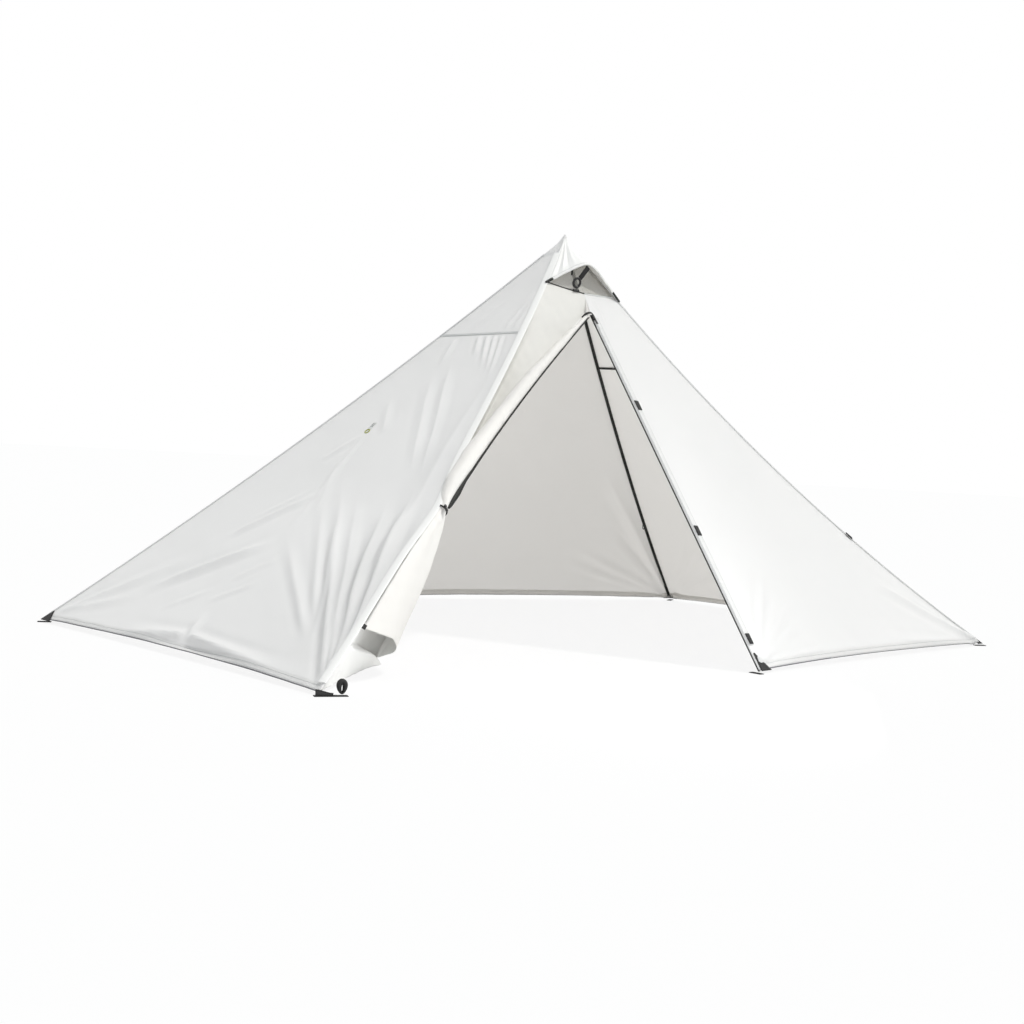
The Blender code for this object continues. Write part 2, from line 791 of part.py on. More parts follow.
def hood_surface(down, across):
    """Point on the hood; down runs from the cap to the brim, across from left to right."""
    left, middle, right = hood_points()
    side = 2.0 * across - 1.0
    rounded = (side * side + BRIM_CORNER ** 2) ** 0.5 - BRIM_CORNER
    rounded /= (1.0 + BRIM_CORNER ** 2) ** 0.5 - BRIM_CORNER
    brim = middle + ((left + right) / 2.0 - middle) * rounded + (right - left) / 2.0 * side
    start = APEX.lerp(brim, HOOD_START)
    over_seam = Vector((0.0, -1.0, 0.35)).normalized() * (SEAM_RADIUS + TOUCH_GAP)
    return start.lerp(brim, down) + over_seam


def brim_point(across):
    """Centre of the brim's binding, just below the hood's edge."""
    edge = hood_surface(1.0, across)
    above = hood_surface(0.9, across)
    down = (edge - above).normalized()
    outward = Vector((0.0, -1.0, 0.35)).normalized()
    return edge + down * (BRIM_RADIUS + TOUCH_GAP) + outward * BRIM_RADIUS * 0.75


def build_hood(group):
    """Hood over the vent, its bound brim, the netting behind it and the prop."""
    sheet("vent_hood", hood_surface, 10, 5, CLOTH, group, CLOTH_BRIGHT, side=1.0)

    points = [brim_point(step / BRIM_STEPS) for step in range(BRIM_STEPS + 1)]
    tube("vent_brim", points, BRIM_RADIUS, group, TAPE_GREY)

    net_gap = FIT_GAP / PEAK_HEIGHT

    def net_left(down, across):
        low = lip_share(1.0 - across) - net_gap
        share = PANEL_TOP + (low - PANEL_TOP) * down
        return panel_point("front_left", "front_centre", share, across)

    def net_right(down, across):
        low = lip_share(across) - net_gap
        share = PANEL_TOP + (low - PANEL_TOP) * down
        return panel_point("front_centre", "front_right", share, across)

    sheet("vent_net_left", net_left, 3, 3, MESH_THICKNESS, group, NET_GREY)
    sheet("vent_net_right", net_right, 3, 3, MESH_THICKNESS, group, NET_GREY)


def build_prop(group, pivots):
    """Stiff strap that hangs from the brim and ends in a ring on the vent's lip."""
    centre = brim_point(0.5)
    axis = (brim_point(0.55) - brim_point(0.45)).normalized()
    lip = panel_point("front_left", "front_centre", lip_share(1.0 - PROP_PLACE), PROP_PLACE)
    outer = RING_RADIUS + RING_WIRE
    down = (lip + UP * outer - centre).normalized()
    axis = (axis - down * axis.dot(down)).normalized()
    top_gap = BRIM_RADIUS + FIT_GAP + PROP_GAP
    face = axis.cross(down)
    middle = centre + down * (top_gap + PROP_LENGTH / 2.0)
    place = frame_at(middle, axis, face)
    size = (PROP_WIDTH, PROP_LENGTH, PROP_THICKNESS)
    strap = block("vent_prop", size, place, group, WEB_BLACK, bevel=0.0008)
    low = centre + down * (top_gap + PROP_LENGTH + TOUCH_GAP + outer)
    place = frame_at(low, axis, face)
    ring = torus("vent_prop_ring", RING_RADIUS, RING_WIRE, place, group, PLASTIC_BLACK)
    hinge = frame_at(centre, axis, face)
    pivot(strap, hinge, pivots)
    pivot(ring, hinge, pivots)


def surface_frame(left, right, share, place, lift):
    """Frame on a cloth side: x along the row, y up the slope, z out, raised off it."""
    normal = panel_normal(left, right, share, place)
    point = panel_point(left, right, share, place)
    row = panel_point(left, right, share, place + 0.01) - point
    return frame_at(point + normal * lift, row, normal)


def build_guy_tabs(group, pivots):
    """Guy-out tab and cord loop in the middle of the left side, and a tab on the right ridge."""
    lift = FIT_GAP + GUY_TAB_THICKNESS / 2.0
    place = surface_frame("back_left", "front_left", GUY_SHARE_LEFT, GUY_PLACE_LEFT, lift)
    size = (GUY_TAB_WIDTH, GUY_TAB_LENGTH, GUY_TAB_THICKNESS)
    block("guy_tab_left", size, place, group, WEB_BLACK)
    drop = GUY_TAB_LENGTH / 2.0 + GUY_LOOP_GAP + GUY_LOOP_RADIUS
    ring = place @ Matrix.Translation((0.0, -drop, GUY_LOOP_WIRE - GUY_TAB_THICKNESS / 2.0))
    obj = torus("guy_loop_left", GUY_LOOP_RADIUS, GUY_LOOP_WIRE, ring, group, CORD_GREEN)
    pivot(obj, ring @ Matrix.Translation((0.0, GUY_LOOP_RADIUS, 0.0)), pivots)

    along = line_direction("front_right", GUY_SHARE_RIGHT)
    outward = Vector((1.0, -1.0, 0.0))
    outward = (outward - along * outward.dot(along)).normalized()
    lift = SEAM_RADIUS + FIT_GAP + GUY_TAB_THICKNESS / 2.0
    centre = line_point("front_right", GUY_SHARE_RIGHT) + outward * lift
    place = frame_at(centre, along.cross(outward), outward)
    block("guy_tab_right", size, place, group, WEB_BLACK)


def build_tie(group, pivots):
    """Cord round the drawn-back door at its ridge, and the toggle that holds it."""
    start = line_point("front_left", DOOR_TIE_SHARE)
    along = line_direction("front_left", DOOR_TIE_SHARE)
    right = tie_way()
    out = right.cross(along).normalized()
    if out.y > 0.0:
        out.negate()
    points = [start + right * x + out * z for x, z in TIE_ROUTE]
    tube("tie_cord", smooth_line(points, 4), TIE_CORD_RADIUS, group, WEB_BLACK)

    rise = TIE_CORD_FRONT + TIE_CORD_RADIUS + TOUCH_GAP + TOGGLE_RADIUS
    hang = (out * UP.dot(out) - UP).normalized()
    held = start + right * FLAP_TIE_WIDTH * TOGGLE_PLACE + out * rise
    centre = held + hang * TOGGLE_LENGTH * TOGGLE_DROP
    shape = bmesh.new()
    bmesh.ops.create_cone(shape, cap_ends=True, segments=12, radius1=TOGGLE_RADIUS,
                          radius2=TOGGLE_RADIUS, depth=TOGGLE_LENGTH)
    obj = mesh_object("tie_toggle", shape, group, PLASTIC_BLACK)
    obj.matrix_world = frame_at(centre, out, hang)
    edge = obj.modifiers.new("edges", "BEVEL")
    edge.width = 0.0012
    edge.segments = 2
    edge.limit_method = "ANGLE"
    pivot(obj, frame_at(held, right, out), pivots)


def smooth_line(points, steps):
    """Points on a smooth curve through the given ones."""
    made = []
    last = len(points) - 1
    for index in range(last):
        before = points[max(index - 1, 0)]
        start = points[index]
        end = points[index + 1]
        after = points[min(index + 2, last)]
        for step in range(steps):
            t = step / steps
            made.append(0.5 * (2.0 * start + (end - before) * t
                               + (2.0 * before - 5.0 * start + 4.0 * end - after) * t * t
                               + (3.0 * start - before - 3.0 * end + after) * t ** 3))
    made.append(points[last])
    return made


def build_inner_loop(group, pivots):
    """Small loop that hangs inside from the back right ridge's seam."""
    along = line_direction("back_right", INNER_LOOP_SHARE)
    inward = Vector((0.0, 0.0, -1.0))
    inward = (inward - along * inward.dot(along)).normalized()
    drop = SEAM_RADIUS + TOUCH_GAP + INNER_LOOP_WIRE + INNER_LOOP_RADIUS
    seam = line_point("back_right", INNER_LOOP_SHARE)
    place = frame_at(seam + inward * drop, along, along.cross(inward))
    obj = torus("inner_loop", INNER_LOOP_RADIUS, INNER_LOOP_WIRE, place, group, WEB_BLACK)
    pivot(obj, frame_at(seam + inward * (drop - INNER_LOOP_RADIUS), along, inward), pivots)


def main():
    """Clear the scene and build the shelter."""
    for old in list(bpy.data.objects):
        bpy.data.objects.remove(old, do_unlink=True)
    group = new_collection("pyramid_shelter")
    pivots = new_collection("pivots")
    build_panels(group)
    build_cap(group)
    build_seams(group)
    build_hems(group)
    build_corners(group)
    build_stake_loop(group, pivots)
    build_zip(group, pivots)
    build_flap(group)
    build_hood(group)
    build_prop(group, pivots)
    build_guy_tabs(group, pivots)
    build_tie(group, pivots)
    build_inner_loop(group, pivots)


main()
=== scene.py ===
import math

import bmesh
import bpy
import numpy as np
from mathutils import Matrix, Vector


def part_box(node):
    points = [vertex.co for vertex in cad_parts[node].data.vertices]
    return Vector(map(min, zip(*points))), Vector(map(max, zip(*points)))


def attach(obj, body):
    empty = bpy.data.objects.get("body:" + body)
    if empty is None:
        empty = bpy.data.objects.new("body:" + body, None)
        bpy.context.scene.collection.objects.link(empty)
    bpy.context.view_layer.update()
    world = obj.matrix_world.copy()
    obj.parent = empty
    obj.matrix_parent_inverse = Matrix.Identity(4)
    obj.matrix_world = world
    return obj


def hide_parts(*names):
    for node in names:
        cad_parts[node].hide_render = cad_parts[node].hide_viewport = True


# A white pyramid shelter with a zipped front, one door half drawn back and tied.
# Metres, +Z up, ground at z = 0; the door faces -Y.

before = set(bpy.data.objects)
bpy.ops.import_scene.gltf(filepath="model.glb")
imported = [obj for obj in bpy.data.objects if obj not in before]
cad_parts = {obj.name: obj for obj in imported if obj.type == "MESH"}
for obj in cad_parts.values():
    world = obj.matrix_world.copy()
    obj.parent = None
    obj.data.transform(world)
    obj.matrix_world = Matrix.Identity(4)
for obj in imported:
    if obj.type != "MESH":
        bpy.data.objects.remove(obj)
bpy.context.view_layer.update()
BODY = "shelter"

# Plan, ridges and door, the same numbers as the CAD part
HALF_WIDTH = 1.500
HALF_DEPTH = 0.800
FRONT_REACH = 0.980
BACK_REACH = 1.200
PEAK_HEIGHT = 1.380
GROUND_LIFT = 0.0055
HEM_LIFT = 0.012
DOOR_TOP_HEIGHT = 1.100
DOOR_TOP_SHIFT = -0.045
DOOR_PULL = 0.036
TIE_PULL = 0.022
TIE_PULL_SPREAD = 0.070
TIE_SHARE = 0.655
TIE_WIDTH = 0.022
LIP_SHARE_MIDDLE = 0.147
LIP_SHARE_SIDE = 0.123
SAGS = {
    "front_left": 0.016,
    "front_right": 0.074,
    "back_right": 0.050,
    "back_centre": 0.020,
    "back_left": 0.028,
}
MIDDLE = (FRONT_REACH - BACK_REACH) / 2.0
MIDDLE_POINT = np.array([0.0, MIDDLE, 0.0])
DOOR_TOP_SHARE = 1.0 - DOOR_TOP_HEIGHT / PEAK_HEIGHT


def plan(x, y, z=0.0):
    """Point given from the peak's plumb line, at hem level."""
    return np.array([x, y + MIDDLE, z + GROUND_LIFT])


APEX = plan(0.0, 0.0, PEAK_HEIGHT)
DOOR_TOP = plan(DOOR_TOP_SHIFT, -FRONT_REACH * DOOR_TOP_SHARE, DOOR_TOP_HEIGHT)
CORNERS = {
    "front_left": plan(-HALF_WIDTH, -HALF_DEPTH),
    "front_centre": plan(0.0, -FRONT_REACH),
    "front_right": plan(HALF_WIDTH, -HALF_DEPTH),
    "back_right": plan(HALF_WIDTH, HALF_DEPTH),
    "back_centre": plan(0.0, BACK_REACH),
    "back_left": plan(-HALF_WIDTH, HALF_DEPTH),
}
UP = np.array([0.0, 0.0, 1.0])
FLAT = 1.0 - UP
HEM_WAY = CORNERS["front_centre"] - CORNERS["front_left"]
HEM_WAY = HEM_WAY / np.linalg.norm(HEM_WAY)
# Way of the front left stake tab, which lies under the door's foot
LOOP_TURN = math.radians(-14.0)
LOOP_WAY = np.array([
    HEM_WAY[0] * math.cos(LOOP_TURN) - HEM_WAY[1] * math.sin(LOOP_TURN),
    HEM_WAY[0] * math.sin(LOOP_TURN) + HEM_WAY[1] * math.cos(LOOP_TURN), 0.0])


# Camera: the photograph's place, direction and slight roll

CAMERA_PLACE = (-3.787, -4.224, 0.6547)
CAMERA_WAY = (0.6588, 0.7512, -0.0413)
CAMERA_ROLL = 3.02
CAMERA_LENS = 56.25


def place_camera():
    """Stand the camera at the front left, low, as the photograph was taken."""
    data = bpy.data.cameras.new("camera")
    data.lens = CAMERA_LENS
    data.sensor_width = 36.0
    data.clip_end = 100.0
    camera = bpy.data.objects.new("camera", data)
    bpy.context.scene.collection.objects.link(camera)
    forward = Vector(CAMERA_WAY).normalized()
    right = forward.cross(Vector(UP)).normalized()
    above = right.cross(forward)
    turn = Matrix((right, above, -forward)).transposed()
    roll = Matrix.Rotation(math.radians(CAMERA_ROLL), 3, "Z")
    camera.matrix_world = Matrix.Translation(CAMERA_PLACE) @ (turn @ roll).to_4x4()
    bpy.context.scene.camera = camera


# Ridges and cloth surfaces, as arrays of points

def unit(vectors):
    """Vectors scaled to length 1."""
    return vectors / np.maximum(np.linalg.norm(vectors, axis=-1, keepdims=True), 1e-12)


def lengths(vectors):
    """Lengths of vectors."""
    return np.linalg.norm(vectors, axis=-1)


def even(count, low=0.0, high=1.0):
    """Even steps from one number to another."""
    return np.linspace(low, high, count)


def ease(value):
    """Smooth step from 0 to 1."""
    value = np.clip(value, 0.0, 1.0)
    return value * value * (3.0 - 2.0 * value)


def neck(share):
    """How far the doubled tip draws the front right ridge in, just below the peak."""
    return 0.026 * np.exp(-((share - 0.030) / 0.017) ** 2)


def ridge(name, share):
    """Points on a ridge or on the door line, from the peak (0) to the ground (1)."""
    share = np.asarray(share, float)[..., None]
    foot = CORNERS[name]
    if name == "front_centre":
        upper = APEX + (DOOR_TOP - APEX) * share / DOOR_TOP_SHARE
        lower = DOOR_TOP + (foot - DOOR_TOP) * (share - DOOR_TOP_SHARE) / (1.0 - DOOR_TOP_SHARE)
        return np.where(share < DOOR_TOP_SHARE, upper, lower)
    run = foot - APEX
    level_way = unit(run * FLAT)
    inward = unit(np.cross(np.cross(level_way, UP), run))
    inward = inward * -np.sign(inward[2])
    arch = 4.0 * share * (1.0 - share)
    points = APEX + run * share + inward * SAGS[name] * arch
    if name == "front_left":
        pull = DOOR_PULL * arch + TIE_PULL * np.exp(-((share - TIE_SHARE) / TIE_PULL_SPREAD) ** 2)
        points = points + unit(CORNERS["front_centre"] - foot) * pull
    if name == "front_right":
        # The doubled tip draws this ridge in just below the peak
        points = points - level_way * neck(share)
    return points


def lifted(share, place):
    """Share moved up between the stakes, where the hem is cut as a shallow arch."""
    return share * (1.0 - HEM_LIFT / PEAK_HEIGHT * 4.0 * place * (1.0 - place) * share ** 3)


def cloth_at(left, right, share, place):
    """Points on the smooth cloth between two ridges."""
    share, place = np.broadcast_arrays(np.asarray(share, float), np.asarray(place, float))
    low = lifted(share, place)
    start = ridge(left, low)
    return start + (ridge(right, low) - start) * place[..., None]


def square_to(ways, along):
    """Unit directions nearest to the given ones and square to others."""
    return unit(ways - along * (ways * along).sum(axis=1, keepdims=True))


def soften(values, low, high, times):
    """Smooth the rows between two indices."""
    for _ in range(times):
        values[low:high] = 0.5 * values[low:high] + 0.25 * (
            values[low - 1:high - 1] + values[low + 1:high + 1])


def grid_normals(points):
    """Outward normals of a grid of points, rows running down and columns across."""
    down = np.gradient(points, axis=0)
    across = np.gradient(points, axis=1)
    return unit(np.cross(down, across))


def raised(points, height):
    """Grid lifted along its normals."""
    return points + grid_normals(points) * (height[..., None] if np.ndim(height) else height)


def ripples(points, size, seed):
    """Slow uneven waves about a size long, between -1 and 1, the same each run."""
    source = np.random.default_rng(seed)
    total = np.zeros(points.shape[:-1])
    for _ in range(7):
        way = unit(source.normal(size=3)) * 2.0 * math.pi / (size * source.uniform(0.7, 1.6))
        total += np.sin(points @ way + source.uniform(0.0, 6.3))
    return total / 4.0


def crease(points, start, end, width, height, wide_end=None, fades=(0.16, 0.42)):
    """Height of one long crease at each point: a sharp crest that dies out at its ends."""
    run = end - start
    length = np.linalg.norm(run)
    run = run / length
    offset = points - start
    along = offset @ run / length
    side = offset - (offset @ run)[..., None] * run
    widest = lengths(side.reshape(-1, 3)).argmax()
    across = side @ unit(side.reshape(-1, 3)[widest])
    spread = width + ((wide_end or width) - width) * np.clip(along, 0.0, 1.0)
    away = np.abs(across) / spread
    crest = np.exp(0.16 - np.sqrt(away ** 2 + 0.0256))
    trough = 0.30 * np.exp(-((away - 2.4) / 1.1) ** 2)
    fade = ease(along / fades[0]) * ease((1.0 - along) / fades[1])
    return height * (crest - trough) * fade


# Meshes

# Walls of the coated cloth, and of tapes and doubled cloth
CLOTH_WALL = 0.0007
TAPE_WALL = 0.0012


def flat_measure(points):
    """Width, length and area of a grid of cloth before it was hung."""
    corner = points[1:, :-1], points[:-1, 1:]
    area = sum(lengths(np.cross(corner[0] - far, corner[1] - far)).sum() / 2.0
               for far in (points[:-1, :-1], points[1:, 1:]))
    return (float(lengths(np.diff(points, axis=1)).sum(axis=1).max()),
            float(lengths(np.diff(points, axis=0)).sum(axis=0).max()), float(area))


def square_measure(points):
    """Width, length and area of a small flat piece, measured square to its long side."""
    spread = points.reshape(-1, 3) - points.reshape(-1, 3).mean(axis=0)
    axes = np.linalg.svd(spread, full_matrices=False)[2]
    extents = np.ptp(spread @ axes.T, axis=0)
    return float(extents[1]), float(extents[0]), flat_measure(points)[2]


def new_object(name, mesh, *materials):
    """Link a mesh as an object at the origin, with its materials."""
    obj = bpy.data.objects.new(name, mesh)
    bpy.context.scene.collection.objects.link(obj)
    for material in materials:
        mesh.materials.append(material)
    return obj


def grid_mesh(name, points, loop=False):
    """Mesh of a grid of points with a map in metres, across and down the cloth."""
    def corners(grid):
        return np.stack([grid[:-1, :-1], grid[1:, :-1], grid[1:, 1:], grid[:-1, 1:]], axis=-1)

    rows, columns = points.shape[:2]
    index = np.arange(rows * columns).reshape(rows, columns)
    wrapped = points
    if loop:
        index = np.concatenate([index, index[:, :1]], axis=1)
        wrapped = np.concatenate([points, points[:, :1]], axis=1)
    mesh = bpy.data.meshes.new(name)
    mesh.from_pydata(points.reshape(-1, 3).tolist(), [], corners(index).reshape(-1, 4).tolist())
    step_u = lengths(np.diff(wrapped, axis=1))
    step_v = lengths(np.diff(wrapped, axis=0))
    u = np.concatenate([np.zeros((rows, 1)), np.cumsum(step_u, axis=1)], axis=1)
    v = np.concatenate([np.zeros((1, wrapped.shape[1])), np.cumsum(step_v, axis=0)], axis=0)
    chart = np.stack([corners(u - u[:, -1:] / 2.0), corners(v)], axis=-1)
    mesh.uv_layers.new(name="metres").data.foreach_set("uv", chart.reshape(-1).tolist())
    mesh.shade_smooth()
    return mesh


def repair(mesh, fill=False):
    """Turn a closed mesh's faces outwards, after closing its open ends if asked."""
    shape = bmesh.new()
    shape.from_mesh(mesh)
    if fill:
        bmesh.ops.holes_fill(shape, edges=[e for e in shape.edges if e.is_boundary])
    bmesh.ops.recalc_face_normals(shape, faces=shape.faces)
    shape.to_mesh(mesh)
    shape.free()


def cloth(name, points, *skins, thickness=CLOTH_WALL, loop=False):
    """Thin closed cloth on a grid, its outer face on the points."""
    obj = new_object(name, grid_mesh(name, points, loop), *skins)
    wall = obj.modifiers.new("thickness", "SOLIDIFY")
    wall.thickness = thickness
    wall.offset = -1.0
    wall.material_offset = len(skins) - 1
    return obj


def sweep(name, path, profile, material, sides, closed=False):
    """Closed solid of a flat profile carried along a path; sides gives each point's two axes."""
    rings = sum(axes[:, None, :] * profile[None, :, k, None] for k, axes in enumerate(sides))
    rings = path[:, None, :] + rings
    count, size = rings.shape[:2]
    index = np.arange(count * size).reshape(count, size)
    if closed:
        index = np.concatenate([index, index[:1]], axis=0)
    nxt = np.roll(index, -1, axis=1)
    faces = np.stack([index[:-1], nxt[:-1], nxt[1:], index[1:]], axis=-1).reshape(-1, 4).tolist()
    walls = len(faces)
    if not closed:
        faces += [index[0, ::-1].tolist(), index[-1].tolist()]
    mesh = bpy.data.meshes.new(name)
    mesh.from_pydata(rings.reshape(-1, 3).tolist(), [], faces)
    around = np.vstack([path, path[:1]]) if closed else path
    length = np.append(0.0, np.cumsum(lengths(np.diff(around, axis=0))))
    girth = np.append(0.0, np.cumsum(lengths(np.diff(np.vstack([profile, profile[:1]]), axis=0))))
    rows = np.repeat(np.arange(len(index) - 1), size)
    cols = np.tile(np.arange(size), len(index) - 1)
    uv = np.zeros((len(mesh.loops), 2))
    uv[:walls * 4] = np.stack([
        np.stack([girth[cols + a], length[rows + b]], -1)
        for a, b in ((0, 0), (1, 0), (1, 1), (0, 1))], axis=1).reshape(-1, 2)
    mesh.uv_layers.new(name="metres").data.foreach_set("uv", uv.reshape(-1).tolist())
    repair(mesh)
    mesh.shade_smooth()
    mesh.set_sharp_from_angle(angle=math.radians(50.0))
    return new_object(name, mesh, material)


def circle(count):
    """Cosines and sines of even angles round a circle."""
    angle = np.arange(count) * 2.0 * math.pi / count
    return np.cos(angle), np.sin(angle)


def round_profile(radius, count=10, flat=1.0):
    """Circle or flattened circle as a profile."""
    cosine, sine = circle(count)
    return np.stack([cosine * radius, sine * radius * flat], axis=-1)


def band_profile(width, thickness, edge=0.3):
    """Thin band with rounded edges as a profile."""
    half = width / 2.0
    rim = thickness * edge
    top = thickness / 2.0
    return np.array([
        (-half + rim, -top), (half - rim, -top), (half, -top + rim), (half, top - rim),
        (half - rim, top), (-half + rim, top), (-half, top - rim), (-half, -top + rim)])


def path_frames(path, up):
    """Side and outward axes along a path, kept near a given outward direction."""
    along = unit(np.gradient(path, axis=0))
    side = unit(np.cross(along, np.broadcast_to(up, path.shape)))
    return side, unit(np.cross(side, along))


def band(name, path, up, wide, thick, material, slot, *nodes, edge=0.4):
    """Tape or web along a path, sewn to the shelter; up is its outward way or both its axes."""
    sides = up if isinstance(up, tuple) else path_frames(path, up)
    made = sweep(name, path, band_profile(wide, thick, edge), material, sides)
    return settle(made, BODY, slot, *nodes)


def smooth_path(points, count):
    """Even points on a smooth curve through a few given ones."""
    points = np.asarray(points, float)
    padded = np.vstack([2.0 * points[0] - points[1], points, 2.0 * points[-1] - points[-2]])
    made = []
    for i in range(len(points) - 1):
        a, b, c, d = padded[i:i + 4]
        t = np.linspace(0.0, 1.0, 24, endpoint=False)[:, None]
        made.append(0.5 * (2 * b + (c - a) * t + (2 * a - 5 * b + 4 * c - d) * t ** 2
                           + (3 * b - a - 3 * c + d) * t ** 3))
    line = np.vstack(made + [points[-1:]])
    gone = np.concatenate([[0.0], np.cumsum(lengths(np.diff(line, axis=0)))])
    return np.stack([np.interp(even(count, 0.0, gone[-1]), gone, line[:, k])
                     for k in range(3)], axis=-1)


# Materials

def linear(text):
    """Linear colour from an sRGB hex value."""
    parts = [int(text[i:i + 2], 16) / 255.0 for i in (1, 3, 5)]
    return tuple(c / 12.92 if c <= 0.04045 else ((c + 0.055) / 1.055) ** 2.4 for c in parts) + (1.0,)


def add(tree, kind, inputs=None, **settings):
    """Add a node with its settings, values and links."""
    node = tree.nodes.new(kind)
    for key, value in settings.items():
        setattr(node, key, value)
    for key, value in (inputs or {}).items():
        socket = node.inputs[key]
        if isinstance(value, bpy.types.NodeSocket):
            tree.links.new(value, socket)
        else:
            socket.default_value = value
    return node


# Metres from crest to crest of a wave texture at scale 1
WAVE_LENGTH = math.pi / 10.0


def new_material(name):
    """Material with its tree, its main shader, and its place and map sockets."""
    material = bpy.data.materials.new(name)
    material.use_nodes = True
    tree = material.node_tree
    place = add(tree, "ShaderNodeTexCoord").outputs
    return material, tree, tree.nodes["Principled BSDF"], place["Object"], place["UV"]


def dress(tree, shader, factor, dark, light, bump, **values):
    """Blend two colours by a factor, and give the shader its normal and other values."""
    colour = add(tree, "ShaderNodeMix", {"Factor": factor}, data_type="RGBA")
    colour.inputs[6].default_value = linear(dark)
    colour.inputs[7].default_value = linear(light)
    tree.links.new(colour.outputs[2], shader.inputs["Base Color"])
    tree.links.new(bump.outputs["Normal"], shader.inputs["Normal"])
    for key, value in values.items():
        shader.inputs[key.replace("_", " ")].default_value = value


def weave(tree, chart, spacing):
    """Threads of plain cloth at a real spacing, crossing each other both ways."""
    threads = [add(tree, "ShaderNodeTexWave", {
        "Vector": chart, "Scale": WAVE_LENGTH / spacing}, bands_direction=way) for way in "XY"]
    over = add(tree, "ShaderNodeMath", {
        0: threads[0].outputs["Fac"], 1: threads[1].outputs["Fac"]}, operation="MAXIMUM")
    return over.outputs[0]


def coated_cloth(name, light, dark, through, roughness, tint):
    """Thin coated plain-weave cloth: near even colour, fine weave, light passing through it."""
    material, tree, shader, place, chart = new_material(name)
    # Crinkles of a thin coated cloth, about 40 mm long and a fraction of a millimetre high
    crinkles = add(tree, "ShaderNodeTexNoise", {"Vector": place, "Scale": 14.0, "Detail": 3.0})
    soft = add(tree, "ShaderNodeBump", {
        "Height": crinkles.outputs["Fac"], "Distance": 0.0020, "Strength": 0.30})
    # Plain weave, drawn 1.2 mm apart so that it shows; the real threads are 0.2 mm apart
    fine = add(tree, "ShaderNodeBump", {
        "Height": weave(tree, chart, 0.0012), "Distance": 0.00012, "Strength": 0.30,
        "Normal": soft.outputs["Normal"]})
    patches = add(tree, "ShaderNodeTexNoise", {
        "Vector": place, "Scale": 2.6, "Detail": 3.0, "Roughness": 0.55})
    dress(tree, shader, patches.outputs["Fac"], dark, light, fine, Roughness=roughness,
          Specular_IOR_Level=0.25, Sheen_Weight=0.06, Sheen_Roughness=0.4)
    glow = add(tree, "ShaderNodeBsdfTranslucent", {
        "Color": linear(tint), "Normal": soft.outputs["Normal"]})
    both_ways = add(tree, "ShaderNodeMixShader", {
        0: through, 1: shader.outputs[0], 2: glow.outputs[0]})
    tree.links.new(both_ways.outputs[0], tree.nodes["Material Output"].inputs["Surface"])
    return material


def woven_tape(name, light, dark, roughness, rib):
    """Ribbed polyester tape: ribs across it and a slightly faded face."""
    material, tree, shader, place, chart = new_material(name)
    ribs = add(tree, "ShaderNodeTexWave", {
        "Vector": chart, "Scale": 1.0 / rib / math.pi, "Distortion": 0.4,
        "Detail": 1.0}, bands_direction="Y")
    faded = add(tree, "ShaderNodeTexNoise", {"Vector": place, "Scale": 60.0, "Detail": 4.0})
    blend = add(tree, "ShaderNodeMath", {
        0: ribs.outputs["Fac"], 1: faded.outputs["Fac"]}, operation="MULTIPLY")
    bump = add(tree, "ShaderNodeBump", {
        "Height": ribs.outputs["Fac"], "Distance": 0.0003, "Strength": 0.8})
    dress(tree, shader, blend.outputs[0], dark, light, bump, Roughness=roughness)
    return material


def moulded(name, light, dark, roughness, grain=900.0):
    """Moulded acetal: even colour, faint satin texture from the mould."""
    material, tree, shader, place, _ = new_material(name)
    texture = add(tree, "ShaderNodeTexNoise", {"Vector": place, "Scale": grain, "Detail": 2.0})
    bump = add(tree, "ShaderNodeBump", {
        "Height": texture.outputs["Fac"], "Distance": 0.0001, "Strength": 0.5})
    dress(tree, shader, texture.outputs["Fac"], dark, light, bump, Roughness=roughness, IOR=1.48)
    return material


def netting(name, colour):
    """Fine polyester net: square holes 2.4 mm apart, drawn coarser than the real 0.8 mm."""
    material, tree, shader, _, chart = new_material(name)
    solid = add(tree, "ShaderNodeMath", {0: weave(tree, chart, 0.0024), 1: 0.74},
                operation="GREATER_THAN")
    tree.links.new(solid.outputs[0], shader.inputs["Alpha"])
    shader.inputs["Base Color"].default_value = linear(colour)
    shader.inputs["Roughness"].default_value = 0.8
    return material


CLOTH_OUT = coated_cloth("silicone_coated_nylon", "#F5F6F7", "#EFF1F2", 0.44, 0.45, "#F4F3F2")
CLOTH_IN = coated_cloth("nylon_inner_face", "#F7F6F4", "#F0EFED", 0.46, 0.60, "#F8F7F5")
CLOTH_DOOR = coated_cloth("nylon_door_cloth", "#EFEFEC", "#E8E8E5", 0.38, 0.55, "#F3F2EE")
# Near-opaque nylon, brighter than the rest: doubled layers pass less light, and its extra brightness is
# painted sunlight on the roll, the fan, the front left ridge's roll, the hood and the brim's middle
CLOTH_OPAQUE_PAINTED_BRIGHT = coated_cloth("nylon_opaque_painted_bright", "#FBFBF9", "#F7F7F5", 0.08, 0.55, "#F6F5F1")
SEAM_CLOTH = coated_cloth("felled_seam_cloth", "#F2F3F3", "#E6E8E8", 0.25, 0.50, "#E4E4DE")
BLACK_TAPE = woven_tape("black_binding_tape", "#3B3C3A", "#222321", 0.75, 0.0011)
